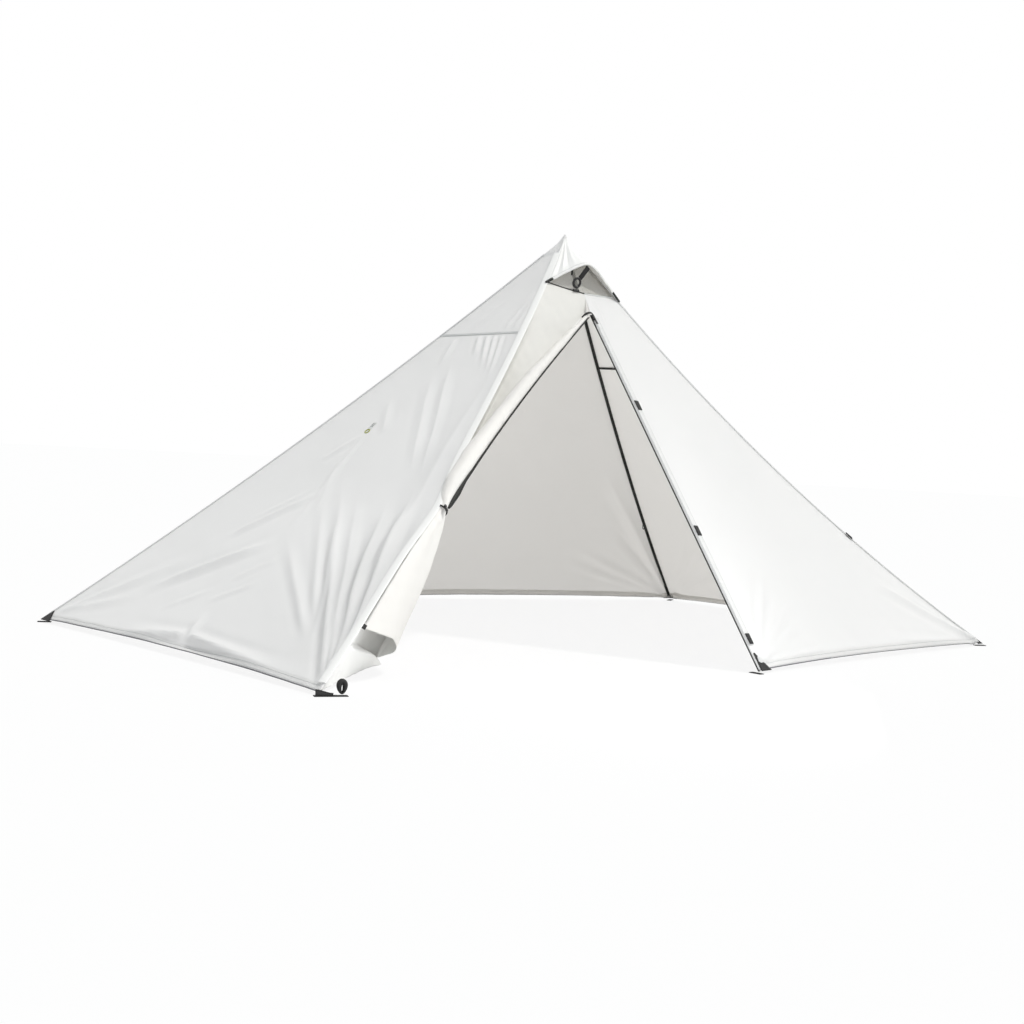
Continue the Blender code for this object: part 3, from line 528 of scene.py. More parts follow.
# Grey of the hem binding: partly the binding's own colour and partly painted shade for the thin shadow
# line under the lifted hem
HEM_BINDING_AND_SHADE = woven_tape("grey_hem_binding_and_shade_line", "#89888D", "#67666B", 0.75, 0.0011)
WEBBING = woven_tape("nylon_webbing", "#202021", "#0B0B0C", 0.70, 0.0014)
THREAD = moulded("bonded_thread", "#D9DBDA", "#C2C5C4", 0.60, 500.0)
DARK_THREAD = moulded("black_thread", "#4A4A49", "#2C2C2C", 0.60, 500.0)
ACETAL = moulded("moulded_acetal", "#1B1B1C", "#101011", 0.38)
COIL = moulded("nylon_zip_coil", "#2A2B2A", "#191A19", 0.45)
CORD_GREEN = woven_tape("braided_guy_cord", "#D3D85A", "#8E9430", 0.65, 0.0009)
CORD_BLACK = woven_tape("braided_tie_cord", "#333333", "#101010", 0.70, 0.0009)
NET = netting("polyester_net", "#C4C2BB")


# Pieces' bodies, and the CAD nodes that they stand for

def settle(obj, body, slot, *nodes):
    """Ride a piece on its body and hide the CAD nodes that it stands for; the finish given to it is not
    used.
    """
    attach(obj, body)
    if nodes:
        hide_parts(*nodes)
    return obj


def middle_of(node):
    """Middle of a CAD node's box."""
    low, high = (np.array(c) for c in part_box(node))
    return (low + high) / 2.0


# Stitches, one tree for all: short bars along a path at an even spacing

def stitch_tree():
    """Tree that sets one small stitch every few millimetres along a curve."""
    tree = bpy.data.node_groups.new("stitches", "GeometryNodeTree")
    face = tree.interface
    face.new_socket("Path", in_out="INPUT", socket_type="NodeSocketGeometry")
    for name, value in (("Spacing", 0.005), ("Length", 0.0034), ("Thickness", 0.0008)):
        face.new_socket(name, in_out="INPUT", socket_type="NodeSocketFloat").default_value = value
    face.new_socket("Thread", in_out="INPUT", socket_type="NodeSocketMaterial")
    face.new_socket("Stitches", in_out="OUTPUT", socket_type="NodeSocketGeometry")
    start = add(tree, "NodeGroupInput")
    points = add(tree, "GeometryNodeCurveToPoints", {
        "Curve": start.outputs["Path"], "Length": start.outputs["Spacing"]}, mode="LENGTH")
    size = add(tree, "ShaderNodeCombineXYZ", {
        "X": start.outputs["Thickness"], "Y": start.outputs["Thickness"],
        "Z": start.outputs["Length"]})
    bar = add(tree, "GeometryNodeMeshCube", {"Size": size.outputs[0]})
    spread = add(tree, "GeometryNodeInstanceOnPoints", {
        "Points": points.outputs["Points"], "Instance": bar.outputs["Mesh"],
        "Rotation": points.outputs["Rotation"]})
    real = add(tree, "GeometryNodeRealizeInstances", {"Geometry": spread.outputs["Instances"]})
    tinted = add(tree, "GeometryNodeSetMaterial", {
        "Geometry": real.outputs["Geometry"], "Material": start.outputs["Thread"]})
    end = add(tree, "NodeGroupOutput")
    tree.links.new(tinted.outputs["Geometry"], end.inputs["Stitches"])
    return tree


STITCHES = stitch_tree()


def stitch(name, paths, thread, spacing=0.005, length=0.0034, thickness=0.0008):
    """Rows of stitches along paths, as one plain mesh."""
    curve = bpy.data.curves.new(name, "CURVE")
    curve.dimensions = "3D"
    for path in paths:
        spline = curve.splines.new("POLY")
        spline.points.add(len(path) - 1)
        homogeneous = np.hstack([path, np.ones((len(path), 1))])
        spline.points.foreach_set("co", homogeneous.reshape(-1).tolist())
    mould = bpy.data.objects.new(name, curve)
    bpy.context.scene.collection.objects.link(mould)
    rows = mould.modifiers.new("stitches", "NODES")
    rows.node_group = STITCHES
    values = {"Spacing": spacing, "Length": length, "Thickness": thickness, "Thread": thread}
    for item in STITCHES.interface.items_tree:
        if item.in_out == "INPUT" and item.name in values:
            rows[item.identifier] = values[item.name]
    graph = bpy.context.evaluated_depsgraph_get()
    mesh = bpy.data.meshes.new_from_object(mould.evaluated_get(graph))
    bpy.data.objects.remove(mould, do_unlink=True)
    mesh.name = name
    obj = bpy.data.objects.new(name, mesh)
    bpy.context.scene.collection.objects.link(obj)
    return settle(obj, BODY, "seam_light" if thread == THREAD else "tape_grey")


# Cloth sides

LEFT_SEAM_SHARE = 0.255
RIGHT_SEAM_SHARE = 0.283
SIDE_TOP = 0.037
SIDE_BOTTOM = 0.9955
RIDGE_RUN = 2.19
# Lowest that any cloth hangs over the ground
CLOTH_CLEAR = 0.0045


def side_grid(left, right, tops, bottoms, rows, columns):
    """Even grid of share and place over a side, and its smooth points."""
    place = even(columns)[None, :]
    down = even(rows)[:, None]
    share = tops(place) + (bottoms(place) - tops(place)) * down
    share, place = np.broadcast_arrays(share, place)
    return share, place, cloth_at(left, right, share, place)


def level(share):
    """A level edge at one share of the ridges."""
    return lambda place: np.full_like(place, share)


def creased(left, right, points, folds):
    """Total height of a list of folds, each given by the share and place of its two ends, its
    width and height, its width at its far end, and how much of it is its rise and its fall."""
    total = np.zeros(points.shape[:-1])
    for start, end, *sizes in folds:
        total += crease(points, cloth_at(left, right, *start), cloth_at(left, right, *end), *sizes)
    return total


def off_edges(share, place, span, top):
    """1 over the cloth and 0 along the ridges and the seam above, in metres of cloth."""
    sides = ease(place * share * span / 0.022) * ease((1.0 - place) * share * span / 0.022)
    return sides * ease((share - top) * RIDGE_RUN / 0.030 + 0.08)


LEFT_FOLDS = (
    ((0.300, 0.905), (0.960, 0.925), 0.050, 0.0150, None, (0.35, 0.35)),
    ((0.905, 0.20), (0.755, 0.50), 0.016, 0.0124, None, (0.35, 0.35)),
    ((0.775, 0.25), (0.640, 0.465), 0.013, 0.0078, None, (0.30, 0.35)),
    ((0.735, 0.26), (0.640, 0.405), 0.010, 0.0050, None, (0.35, 0.35)),
    ((0.585, 0.26), (0.500, 0.370), 0.010, 0.0043, None, (0.35, 0.35)),
    ((0.990, 1.000), (0.600, 0.450), 0.010, 0.0132, 0.021, (0.06, 0.45)),
    ((0.985, 1.010), (0.615, 0.570), 0.008, 0.0093, 0.016, (0.06, 0.45)),
    ((0.930, 0.880), (0.735, 0.470), 0.009, 0.0070, 0.016, (0.25, 0.40)),
    ((0.900, 0.860), (0.640, 0.440), 0.008, 0.0062, 0.016, (0.25, 0.40)),
    ((0.985, 1.010), (0.625, 0.740), 0.009, 0.0116, 0.018, (0.06, 0.40)),
    ((0.985, 1.015), (0.610, 0.860), 0.010, 0.0124, 0.018, (0.05, 0.35)),
    ((0.930, 0.900), (0.700, 0.640), 0.007, 0.0047, 0.012, (0.30, 0.40)),
    ((0.350, 0.37), (0.600, 0.800), 0.016, 0.0062, None, (0.30, 0.30)),
    ((0.320, 0.44), (0.600, 0.860), 0.014, 0.0065, None, (0.30, 0.30)),
    ((0.260, 0.50), (0.315, 0.640), 0.007, 0.0056, None, (0.10, 0.55)),
    ((0.260, 0.60), (0.345, 0.780), 0.007, 0.0068, None, (0.10, 0.55)),
    ((0.260, 0.68), (0.360, 0.850), 0.006, 0.0056, None, (0.10, 0.55)),
    ((0.260, 0.77), (0.380, 0.900), 0.006, 0.0047, None, (0.10, 0.60)),
    ((0.265, 0.24), (0.345, 0.390), 0.010, 0.0047, None, (0.15, 0.50)),
    ((0.420, 0.26), (0.510, 0.480), 0.012, 0.0047, None, (0.35, 0.35)),
    ((0.495, 0.35), (0.770, 0.490), 0.010, 0.0040, None, (0.20, 0.50)),
    ((0.860, 0.46), (0.790, 0.570), 0.010, 0.0040, None, (0.35, 0.35)),
    ((0.905, 0.46), (0.840, 0.590), 0.009, 0.0047, None, (0.35, 0.35)),
    ((0.935, 0.34), (0.870, 0.460), 0.009, 0.0037, None, (0.35, 0.35)),
    ((0.700, 0.52), (0.560, 0.360), 0.014, 0.0040, None, (0.35, 0.35)),
    ((0.970, 0.03), (0.800, 0.260), 0.010, 0.0062, 0.024, (0.10, 0.50)),
    ((0.975, 0.02), (0.900, 0.260), 0.010, 0.0053, 0.020, (0.10, 0.50)),
)
LEFT_UPPER_FOLDS = (
    ((0.250, 0.30), (0.150, 0.45), 0.012, 0.0025, None, (0.30, 0.40)),
    ((0.250, 0.74), (0.140, 0.90), 0.010, 0.0043, None, (0.20, 0.40)),
    ((0.250, 0.84), (0.150, 0.95), 0.008, 0.0037, None, (0.20, 0.40)),
)


def side_piece(name, left, right, grid, folds, span, top, seed, roughness=1.0, extra=None):
    """One cloth piece of a side: its folds, slow waves and small crinkles on the smooth grid."""
    share, place, points = grid
    flat = flat_measure(points)
    height = creased(left, right, points, folds)
    height += roughness * (0.0012 * ripples(points, 0.36, seed)
                           + 0.0006 * ripples(points, 0.10, seed + 1))
    height = height * off_edges(share, place, span, top)
    if extra is not None:
        height = height + extra(share, place, points)
    points = raised(points, height)
    points[..., 2] = np.maximum(points[..., 2], CLOTH_CLEAR)
    return cloth(name, points, CLOTH_OUT, CLOTH_IN), flat, points


def hem_fold(share, place, points):
    """The left hem's slack, gathered in one fold that stands up from the ground."""
    pair = ("back_left", "front_left")
    peak = cloth_at(*pair, 0.968, 0.520)
    height = crease(points, peak, cloth_at(*pair, 0.990, 0.28), 0.012, 0.011, 0.020, (0.10, 0.60))
    height += crease(points, peak, cloth_at(*pair, 0.988, 0.90), 0.012, 0.014, 0.018, (0.10, 0.60))
    height += crease(points, cloth_at(*pair, 0.975, 0.53), cloth_at(*pair, 0.915, 0.50), 0.010,
                     0.006, 0.020, (0.35, 0.60))
    hollow = np.exp(-((place - 0.57) / 0.12) ** 2) * ease((share - 0.970) / 0.018)
    return (height - 0.007 * hollow) * ease((SIDE_BOTTOM - share) / 0.007)


def side_in_two(name, pair, seam, counts, folds, seed, slot, upper_roughness, extra=None):
    """A side joined from two pieces at a level seam."""
    made = []
    for part, top, low, count, creases, roughness, more in (
            ("upper", SIDE_TOP, seam, counts[0], folds[0], upper_roughness, None),
            ("lower", seam, SIDE_BOTTOM, counts[1], folds[1], 1.0, extra)):
        grid = side_grid(*pair, level(top), level(low), *count)
        obj, flat, points = side_piece("%s_%s" % (name, part), *pair, grid, creases, 1.6, top, seed,
                                       roughness, more)
        settle(obj, BODY, slot, "panel_" + name)
        made.append((obj, flat))
    return made[0], made[1], points


RIGHT_FRONT_FOLDS = (
    ((0.985, 0.010), (0.780, 0.270), 0.007, 0.0075, 0.018, (0.06, 0.40)),
    ((0.985, 0.015), (0.825, 0.290), 0.007, 0.0050, 0.016, (0.06, 0.40)),
    ((0.985, 0.020), (0.850, 0.310), 0.007, 0.0063, 0.016, (0.06, 0.40)),
    ((0.985, 0.020), (0.900, 0.290), 0.006, 0.0045, 0.014, (0.06, 0.40)),
    ((0.985, 0.010), (0.840, 0.110), 0.006, 0.0045, 0.012, (0.06, 0.40)),
    ((0.990, 0.040), (0.968, 0.340), 0.008, 0.0032, None, (0.15, 0.45)),
    ((0.995, 0.990), (0.800, 0.800), 0.009, 0.0088, 0.020, (0.05, 0.35)),
    ((0.995, 0.995), (0.825, 0.905), 0.008, 0.0060, 0.014, (0.05, 0.35)),
    ((0.998, 0.970), (0.962, 0.550), 0.010, 0.0042, 0.016, (0.10, 0.45)),
    ((0.150, 0.200), (0.235, 0.160), 0.007, 0.0037, None, (0.20, 0.50)),
)


def right_front():
    """Right half of the front, from the vent's lip down."""
    pair = ("front_centre", "front_right")

    def lip(place):
        return LIP_SHARE_MIDDLE + (LIP_SHARE_SIDE - LIP_SHARE_MIDDLE) * place

    grid = side_grid(*pair, lip, level(SIDE_BOTTOM), 160, 170)
    obj, flat, points = side_piece("right_front", *pair, grid, RIGHT_FRONT_FOLDS, 1.5, 0.120, 11,
                                   0.7)
    settle(obj, BODY, "cloth_bright", "panel_front_right")
    return (obj, flat), points


RIGHT_FOLDS = (
    ((0.990, 0.01), (0.760, 0.24), 0.009, 0.0070, 0.022, (0.05, 0.40)),
    ((0.990, 0.01), (0.840, 0.30), 0.009, 0.0046, 0.018, (0.05, 0.40)),
    ((0.990, 0.99), (0.720, 0.70), 0.009, 0.0070, 0.022, (0.05, 0.40)),
    ((0.990, 0.99), (0.820, 0.62), 0.009, 0.0046, 0.018, (0.05, 0.40)),
    ((0.500, 0.60), (0.660, 0.66), 0.014, 0.0030, None, (0.30, 0.30)),
    ((0.290, 0.30), (0.380, 0.24), 0.008, 0.0034, None, (0.10, 0.50)),
    ((0.290, 0.72), (0.380, 0.78), 0.008, 0.0034, None, (0.10, 0.50)),
)
BACK_RIGHT_FOLDS = (
    ((0.990, 0.00), (0.540, 0.150), 0.008, -0.0120, 0.022, (0.05, 0.35)),
    ((0.990, 0.00), (0.720, 0.155), 0.008, 0.0072, 0.018, (0.05, 0.35)),
    ((0.990, 0.01), (0.795, 0.360), 0.008, -0.0072, 0.020, (0.05, 0.40)),
    ((0.990, 0.02), (0.860, 0.390), 0.008, -0.0053, 0.016, (0.05, 0.40)),
    ((0.990, 0.98), (0.800, 0.740), 0.009, 0.0072, 0.020, (0.05, 0.40)),
)
BACK_LEFT_FOLDS = (
    ((0.990, 0.99), (0.600, 0.800), 0.009, 0.0080, 0.024, (0.05, 0.40)),
    ((0.990, 0.98), (0.780, 0.680), 0.009, -0.0060, 0.020, (0.05, 0.40)),
    ((0.990, 0.02), (0.800, 0.280), 0.009, 0.0060, 0.020, (0.05, 0.40)),
)


def back_side(name, node, left, right, folds, seed):
    """One half of the back, from the peak to the ground."""
    grid = side_grid(left, right, level(SIDE_TOP), level(SIDE_BOTTOM), 150, 150)
    obj, flat, points = side_piece(name, left, right, grid, folds, 1.55, SIDE_TOP, seed)
    settle(obj, BODY, "cloth_inner", node)
    return (obj, flat), points


def peak_tip():
    """Doubled tip over the pole's top, with soft pleats between the ridges."""
    order = list(CORNERS)
    share = even(26, 0.0005, 0.050)[:, None]
    place = np.arange(12)[None, :] / 12
    dip = np.sin(place * math.pi) ** 2 * 0.004 * (share / 0.05)
    peaked = UP * 0.011 * np.exp(-(share / 0.010) ** 2)[..., None]
    rings = []
    for name, after in zip(order, order[1:] + order[:1]):
        part = cloth_at(name, after, share, place)
        outward = unit(part - (APEX * FLAT + UP * part[..., 2:3]))
        rings.append(part + peaked + outward * (0.0016 - dip[..., None]))
    points = np.concatenate(rings, axis=1)
    obj = cloth("peak_tip", points, CLOTH_OUT, CLOTH_IN, thickness=TAPE_WALL, loop=True)
    settle(obj, BODY, "cloth_bright", "peak_cap")
    return obj, flat_measure(np.concatenate([points, points[:, :1]], axis=1))


# Seams, tapes and hems

FELL_HALF_WIDTH = 0.0046
FELL_HALF_HEIGHT = 0.0015
ROLL_HALF_WIDTH = 0.0120
ROLL_HALF_HEIGHT = 0.0030
INSIDE_TAPE_REACH = 0.0070
BINDING_WIDTH = 0.0038
BINDING_THICKNESS = 0.0026
HEM_DEPTH = 0.012

# Ridges to the left and right of each, seen from outside
BESIDE = {
    "front_centre": (None, "front_right"),
    "front_right": ("front_centre", "back_right"),
    "back_right": ("front_right", "back_centre"),
    "back_centre": ("back_right", "back_left"),
    "back_left": ("back_centre", "front_left"),
}


def outward_at(name, share):
    """Points of a ridge and the outward direction there, square to it."""
    points = ridge(name, share)
    out = unit((points - APEX) * FLAT) * 0.7 + UP * 0.7
    return points, square_to(out, unit(np.gradient(points, axis=0)))


def ridge_seam(name):
    """Felled seam outside with its two rows of stitches, and a tape inside."""
    share = even(160, 0.045, 0.982)
    points, out = outward_at(name, share)
    side, out = path_frames(points, out)
    # The front left ridge shows as a wide roll of the side's cloth, with no tape inside; its brighter
    # cloth is partly painted light
    rolled = name == "front_left"
    wide, high, skin = FELL_HALF_WIDTH, FELL_HALF_HEIGHT, CLOTH_OUT
    if rolled:
        wide, high, skin = ROLL_HALF_WIDTH, ROLL_HALF_HEIGHT, CLOTH_OPAQUE_PAINTED_BRIGHT
    path = points + out * 0.0008 + side * (wide - FELL_HALF_WIDTH) * 0.8
    fell = sweep("ridge_fell_" + name, path, round_profile(wide, 16, high / wide), skin,
                 (side, out))
    settle(fell, BODY, "seam_light" if rolled else "tape_grey", "ridge_seam_" + name)
    stitch("ridge_stitches_" + name,
           [points + side * sign * 0.0028 + out * 0.0024 for sign in (-1.0, 1.0)], THREAD)
    if rolled:
        return
    along = unit(np.gradient(points, axis=0))
    half = []
    for other in BESIDE[name]:
        wing = square_to(unit(ridge(other, share) - points), along)
        half.append([points + wing * INSIDE_TAPE_REACH * part - out * (0.0042 + 0.0012 * (1.0 - part))
                     for part in (1.0, 0.55, 0.0)])
    tape = cloth("ridge_tape_" + name, np.stack(half[0] + half[1][1::-1], axis=1),
                 BLACK_TAPE if name == "back_right" else SEAM_CLOTH, thickness=TAPE_WALL)
    settle(tape, BODY, "tape_grey")


def hem(name, node, points, sink=0.0):
    """Doubled hem with a row of stitches, and a thin grey binding round its lower edge: its grey is
    partly painted shade for the shadow line under the hem, and sink tucks it under the cloth more and
    more along the hem.
    """
    normal = grid_normals(points[-4:])[-1]
    up = square_to(unit(points[-3] - points[-1]), normal)[1:-1]
    edge = points[-1, 1:-1]
    drop = sink * even(len(edge))[:, None]
    line = edge + up * 0.0004 - normal[1:-1] * (0.0004 + drop)
    bound = band(name, line, (up, np.cross(unit(np.gradient(edge, axis=0)), up)), BINDING_WIDTH,
                 BINDING_THICKNESS, HEM_BINDING_AND_SHADE, "tape_grey", node)
    rows = max(3, int(round(HEM_DEPTH / lengths(points[-2] - points[-1]).mean())))
    lower = points[-1 - rows:, 1:-1]
    normals = grid_normals(lower)
    turned = cloth(name + "_turn", lower - normals * 0.0011, CLOTH_IN, CLOTH_IN,
                   thickness=0.0005)
    settle(turned, BODY, "tape_grey")
    return [bound, turned, stitch(name + "_stitches", [
        lower[1] + normals[1] * 0.0003, lower[1] - normals[1] * 0.0019], THREAD)]


def side_seam(name, points, tape_inside=True):
    """Level seam across a side along the top row of its lower piece: a fell and a dark tape."""
    line = points[0, 2:-2]
    normal = grid_normals(points[:4])[0, 2:-2]
    side, out = path_frames(line, normal)
    fell = band(name + "_fell", line + normal * 0.0008, (side, out), 0.0090, 0.0014, SEAM_CLOTH,
                "seam_light", edge=0.3)
    stitches = stitch(name + "_stitches", [line + side * s * 0.003 + out * 0.0018
                                           for s in (-1.0, 1.0)], THREAD)
    return [fell, stitches, band(
        name + "_tape", line - normal * 0.0024, (side, out), 0.0100, 0.0012,
        BLACK_TAPE if tape_inside else SEAM_CLOTH, "tape_grey", edge=0.3)]


# Corner reinforcements and stake tabs

# How far each patch reaches up the ridge and along the hems
PATCH_REACH = (0.042, 0.038)
WIDER_PATCHES = {"front_centre": (0.062, 0.055), "back_left": (0.048, 0.066)}
PATCH_CLEAR = 0.0036
FOOT_PATCH_LENGTH = 0.046
FOOT_PATCH_HEIGHT = 0.0146
STAKE_TAB_WIDTH = 0.020
STAKE_TAB_LENGTH = 0.044
STAKE_TAB_THICKNESS = 0.0022
LOOP_HALF_WIDTH = 0.0094
LOOP_HALF_HEIGHT = 0.0137
LOOP_WEB_WIDTH = 0.015
LOOP_WEB_DEPTH = 0.0138


def sewn_patch(name, points, thickness, rows):
    """Black webbing over a corner, with stitches along some of its rows."""
    obj = cloth("patch_" + name, points, WEBBING, WEBBING, thickness=thickness)
    settle(obj, BODY, "webbing_black", "corner_patch_" + name)
    over = raised(points, 0.0004)
    stitch("patch_stitches_" + name, [over[row] for row in rows], DARK_THREAD, 0.004)


def corner_patch(name, left, right):
    """Reinforcement over a corner, stitched near its edges."""
    rise, reach = WIDER_PATCHES.get(name, PATCH_REACH)
    bottom = 0.9985
    share = even(14, bottom - rise / np.linalg.norm(CORNERS[name] - APEX), bottom)
    base = ridge(name, share)
    along = unit(np.gradient(base, axis=0))
    beside = 0.0095 if name == "front_centre" else 0.0
    spread = beside + (reach * even(14, 0.12, 1.0))[:, None, None] * even(8)[None, :, None]
    wings = []
    for neighbour in (left, right):
        if neighbour is None:
            continue
        way = unit(ridge(neighbour, share) - base)
        normal = unit(np.cross(along, way))
        normal = normal * np.sign((normal * (base - MIDDLE_POINT)).sum(axis=1, keepdims=True))
        wing = base[:, None] + way[:, None] * spread + normal[:, None] * 0.0024
        wings.append(wing[:, ::-1] if neighbour == left else wing)
    points = wings[0]
    if len(wings) == 2:
        middle = (points[:, -1:] + wings[1][:, :1]) / 2.0
        points = np.concatenate([points[:, :-1], middle, wings[1][:, 1:]], axis=1)
    points[..., 2] = np.maximum(points[..., 2], PATCH_CLEAR)
    sewn_patch(name, points, TAPE_WALL, (np.s_[:-2, 1], np.s_[:-2, -2]))


def door_foot_patch():
    """Low black band at the front left corner, standing on the stake tab under the door's foot."""
    start = CORNERS["front_left"] * FLAT - HEM_WAY * 0.004
    along = even(24, 0.0, FOOT_PATCH_LENGTH)[None, :, None]
    taper = 1.0 - 0.60 * ease(along / FOOT_PATCH_LENGTH)
    over_tab = STAKE_TAB_THICKNESS + 0.0004
    rise = even(8, FOOT_PATCH_HEIGHT, 0.0)[:, None, None] * taper + over_tab
    lean = np.array([0.30, 0.55, 0.0])
    points = start + LOOP_WAY * along + UP * rise + lean * (rise - over_tab) * 0.8
    sewn_patch("front_left", points, 0.0016, (1, -2))


def boxed_stitches(name, start, one, two, first, last, *sizes):
    """Square of stitches with one diagonal, between two corners given along two ways."""
    (a, b), (c, d) = first, last
    box = [start + one * x + two * y
           for x, y in ((a, b), (c, b), (c, d), (a, d), (a, b), (c, d))]
    stitch(name, [np.array(box)], DARK_THREAD, *sizes)


def stake_tab(name):
    """Folded webbing on the ground under a corner."""
    centre = middle_of("stake_tab_" + name)
    outward, length = unit((CORNERS[name] - MIDDLE_POINT) * FLAT), STAKE_TAB_LENGTH
    if name == "front_left":
        outward, length = LOOP_WAY, 2.0 * STAKE_TAB_LENGTH
    path = centre + outward * length * even(24, -0.5, 0.5)[:, None]
    path[:, 2] = STAKE_TAB_THICKNESS / 2.0
    band("tab_" + name, path, UP, STAKE_TAB_WIDTH, STAKE_TAB_THICKNESS, WEBBING, "webbing_black",
         "stake_tab_" + name)
    boxed_stitches("tab_stitches_" + name, centre + UP * 0.0013, outward * STAKE_TAB_LENGTH,
                   np.cross(outward, UP), (0.0, -0.007), (0.40, 0.007), 0.0032, 0.0022, 0.0007)


def stake_loop():
    """Standing teardrop of webbing that takes the front left stake."""
    cosine, sine = circle(64)
    lower = (1.0 - sine) / 2.0
    across = LOOP_HALF_WIDTH * cosine * (0.82 + 0.18 * sine)
    height = LOOP_HALF_HEIGHT * sine - 0.0024 * lower + 0.0017
    path = middle_of("stake_loop") + LOOP_WAY * across[:, None] + UP * height[:, None]
    along = unit(np.roll(path, -1, axis=0) - np.roll(path, 1, axis=0))
    side = np.broadcast_to(np.cross(LOOP_WAY, UP), path.shape)
    out = unit(np.cross(side, along)) * (1.0 - 0.62 * lower ** 2)[:, None]
    loop = sweep("webbing_loop", path, band_profile(LOOP_WEB_WIDTH, LOOP_WEB_DEPTH), WEBBING,
                 (side, out), closed=True)
    settle(loop, "stake_loop", "webbing_black", "stake_loop")


# Zip, storm strip and closure tabs

ZIP_DOWN = unit(CORNERS["front_centre"] - DOOR_TOP)
ZIP_OUT = np.array([0.15333, -0.80271, 0.57632])
ZIP_ACROSS = unit(np.cross(-ZIP_DOWN, ZIP_OUT))
# Spacing, length and thickness of the coil's turns, drawn coarser than real ones
COIL_SIZES = (0.0026, 0.0016, 0.0022)
ZIP_TAPE_WIDTH = 0.0125
ZIP_TAPE_THICKNESS = 0.0016
STRIP_START = 0.0068
STRIP_WIDTH = 0.026
# Width, length and thickness of the small flat parts
TAB_SIZE = (0.020, 0.036, 0.0032)
SLIDER_SIZE = (0.011, 0.022, 0.0062)
PULL_SIZE = (0.009, 0.034, 0.0019)
PROP_SIZE = (0.018, 0.049, 0.0034)
# Radius of each ring, and of its section
PROP_RING = (0.0150, 0.0042)
GUY_RING = (0.0088, 0.0016)
INNER_RING = (0.0120, 0.0016)


def zip_pieces():
    """Right zip tape with its coil, the storm strip and its stitches."""
    length = np.linalg.norm(CORNERS["front_centre"] - DOOR_TOP) - 0.004
    line = DOOR_TOP + ZIP_DOWN * even(120, 0.0, length)[:, None]
    tape = band("zip_tape", line - ZIP_OUT * 0.0012, path_frames(line, ZIP_OUT),
                ZIP_TAPE_WIDTH, ZIP_TAPE_THICKNESS, BLACK_TAPE, "tape_grey", "zip_edge", edge=0.3)
    teeth = stitch("zip_coil", [line - ZIP_ACROSS * 0.0052 + ZIP_OUT * 0.0004], COIL, *COIL_SIZES)
    share = even(90, DOOR_TOP_SHARE + 0.004, 0.945)
    run = lengths(ridge("front_right", share) - ridge("front_centre", share))[:, None]
    offset = STRIP_START + STRIP_WIDTH * even(14)[None, :]
    points = cloth_at("front_centre", "front_right", share[:, None], offset / run)
    flat = flat_measure(points)
    crown = np.sin(even(14, 0.0, math.pi))[None, :] * 0.0016
    points = raised(points, 0.0022 + crown)
    strip = cloth("storm_strip_cloth", points, CLOTH_OUT, CLOTH_IN, thickness=TAPE_WALL)
    settle(strip, BODY, "cloth_bright", "storm_strip")
    over = raised(points, 0.0004)
    edge = stitch("storm_strip_stitches", [over[:, 1], over[:, -2]], THREAD)
    return strip, flat, [tape, teeth, edge]


def frame_matrix(origin, x_axis, z_axis):
    """Frame with its x and z near the given ways."""
    z = unit(z_axis)
    x = unit(x_axis - z * (x_axis @ z))
    frame_axes = np.stack([x, np.cross(z, x), z, origin], axis=1)
    return Matrix(np.vstack([frame_axes, (0.0, 0.0, 0.0, 1.0)]).tolist())


def soft_block(name, node, size, ways, material, body, slot, front=(1.0, 1.0), back=(1.0, 1.0)):
    """Rounded block in place of a CAD node; front and back scale its width and height there."""
    shape = bmesh.new()
    bmesh.ops.create_cube(shape, size=1.0)
    bmesh.ops.scale(shape, vec=size, verts=shape.verts)
    for vertex in shape.verts:
        scales = front if vertex.co.y > 0.0 else back
        vertex.co.x *= scales[0]
        vertex.co.z *= scales[1]
    bmesh.ops.bevel(shape, geom=shape.edges[:], offset=min(size) * 0.22, segments=3,
                    affect="EDGES", profile=0.6)
    bmesh.ops.transform(shape, matrix=frame_matrix(middle_of(node), *ways), verts=shape.verts)
    mesh = bpy.data.meshes.new(name)
    shape.to_mesh(mesh)
    shape.free()
    mesh.shade_smooth()
    settle(new_object(name, mesh, material), body, slot, node)


def ring_piece(name, node, ways, radii, material, body, slot):
    """Closed ring in place of a CAD node; its hole runs along the second way."""
    x, z = unit(ways[0]), unit(ways[1])
    cosine, sine = circle(48)
    out = x * cosine[:, None] + np.cross(z, x) * sine[:, None]
    path = middle_of(node) + out * radii[0]
    ring = sweep(name, path, round_profile(radii[1], 12), material,
                 (np.broadcast_to(z, path.shape), out), closed=True)
    settle(ring, body, slot, node)


def blocks():
    """Closure tabs on the storm strip, zip slider with its flat pull, and the prop with its ring."""
    ways = (ZIP_ACROSS, ZIP_OUT)
    for label in ("upper", "middle", "lower"):
        soft_block("tab_" + label, "closure_tab_" + label, TAB_SIZE, ways, WEBBING, BODY,
                   "webbing_black")
    soft_block("slider_body", "zip_slider", SLIDER_SIZE, ways, ACETAL, "zip_slider",
               "plastic_black", (1.0, 0.9), (0.72, 0.75))
    soft_block("slider_pull", "zip_pull", PULL_SIZE, ways, ACETAL, "zip_pull", "plastic_black",
               (0.62, 1.0))
    ways = (PROP_AXIS, PROP_FACE)
    soft_block("prop_strap", "vent_prop", PROP_SIZE, ways, WEBBING, "vent_prop", "webbing_black")
    ring_piece("prop_ring", "vent_prop_ring", ways, PROP_RING, ACETAL, "vent_prop",
               "plastic_black")


# The door's left half and the fixed head above it, one cloth from the lip to the ground

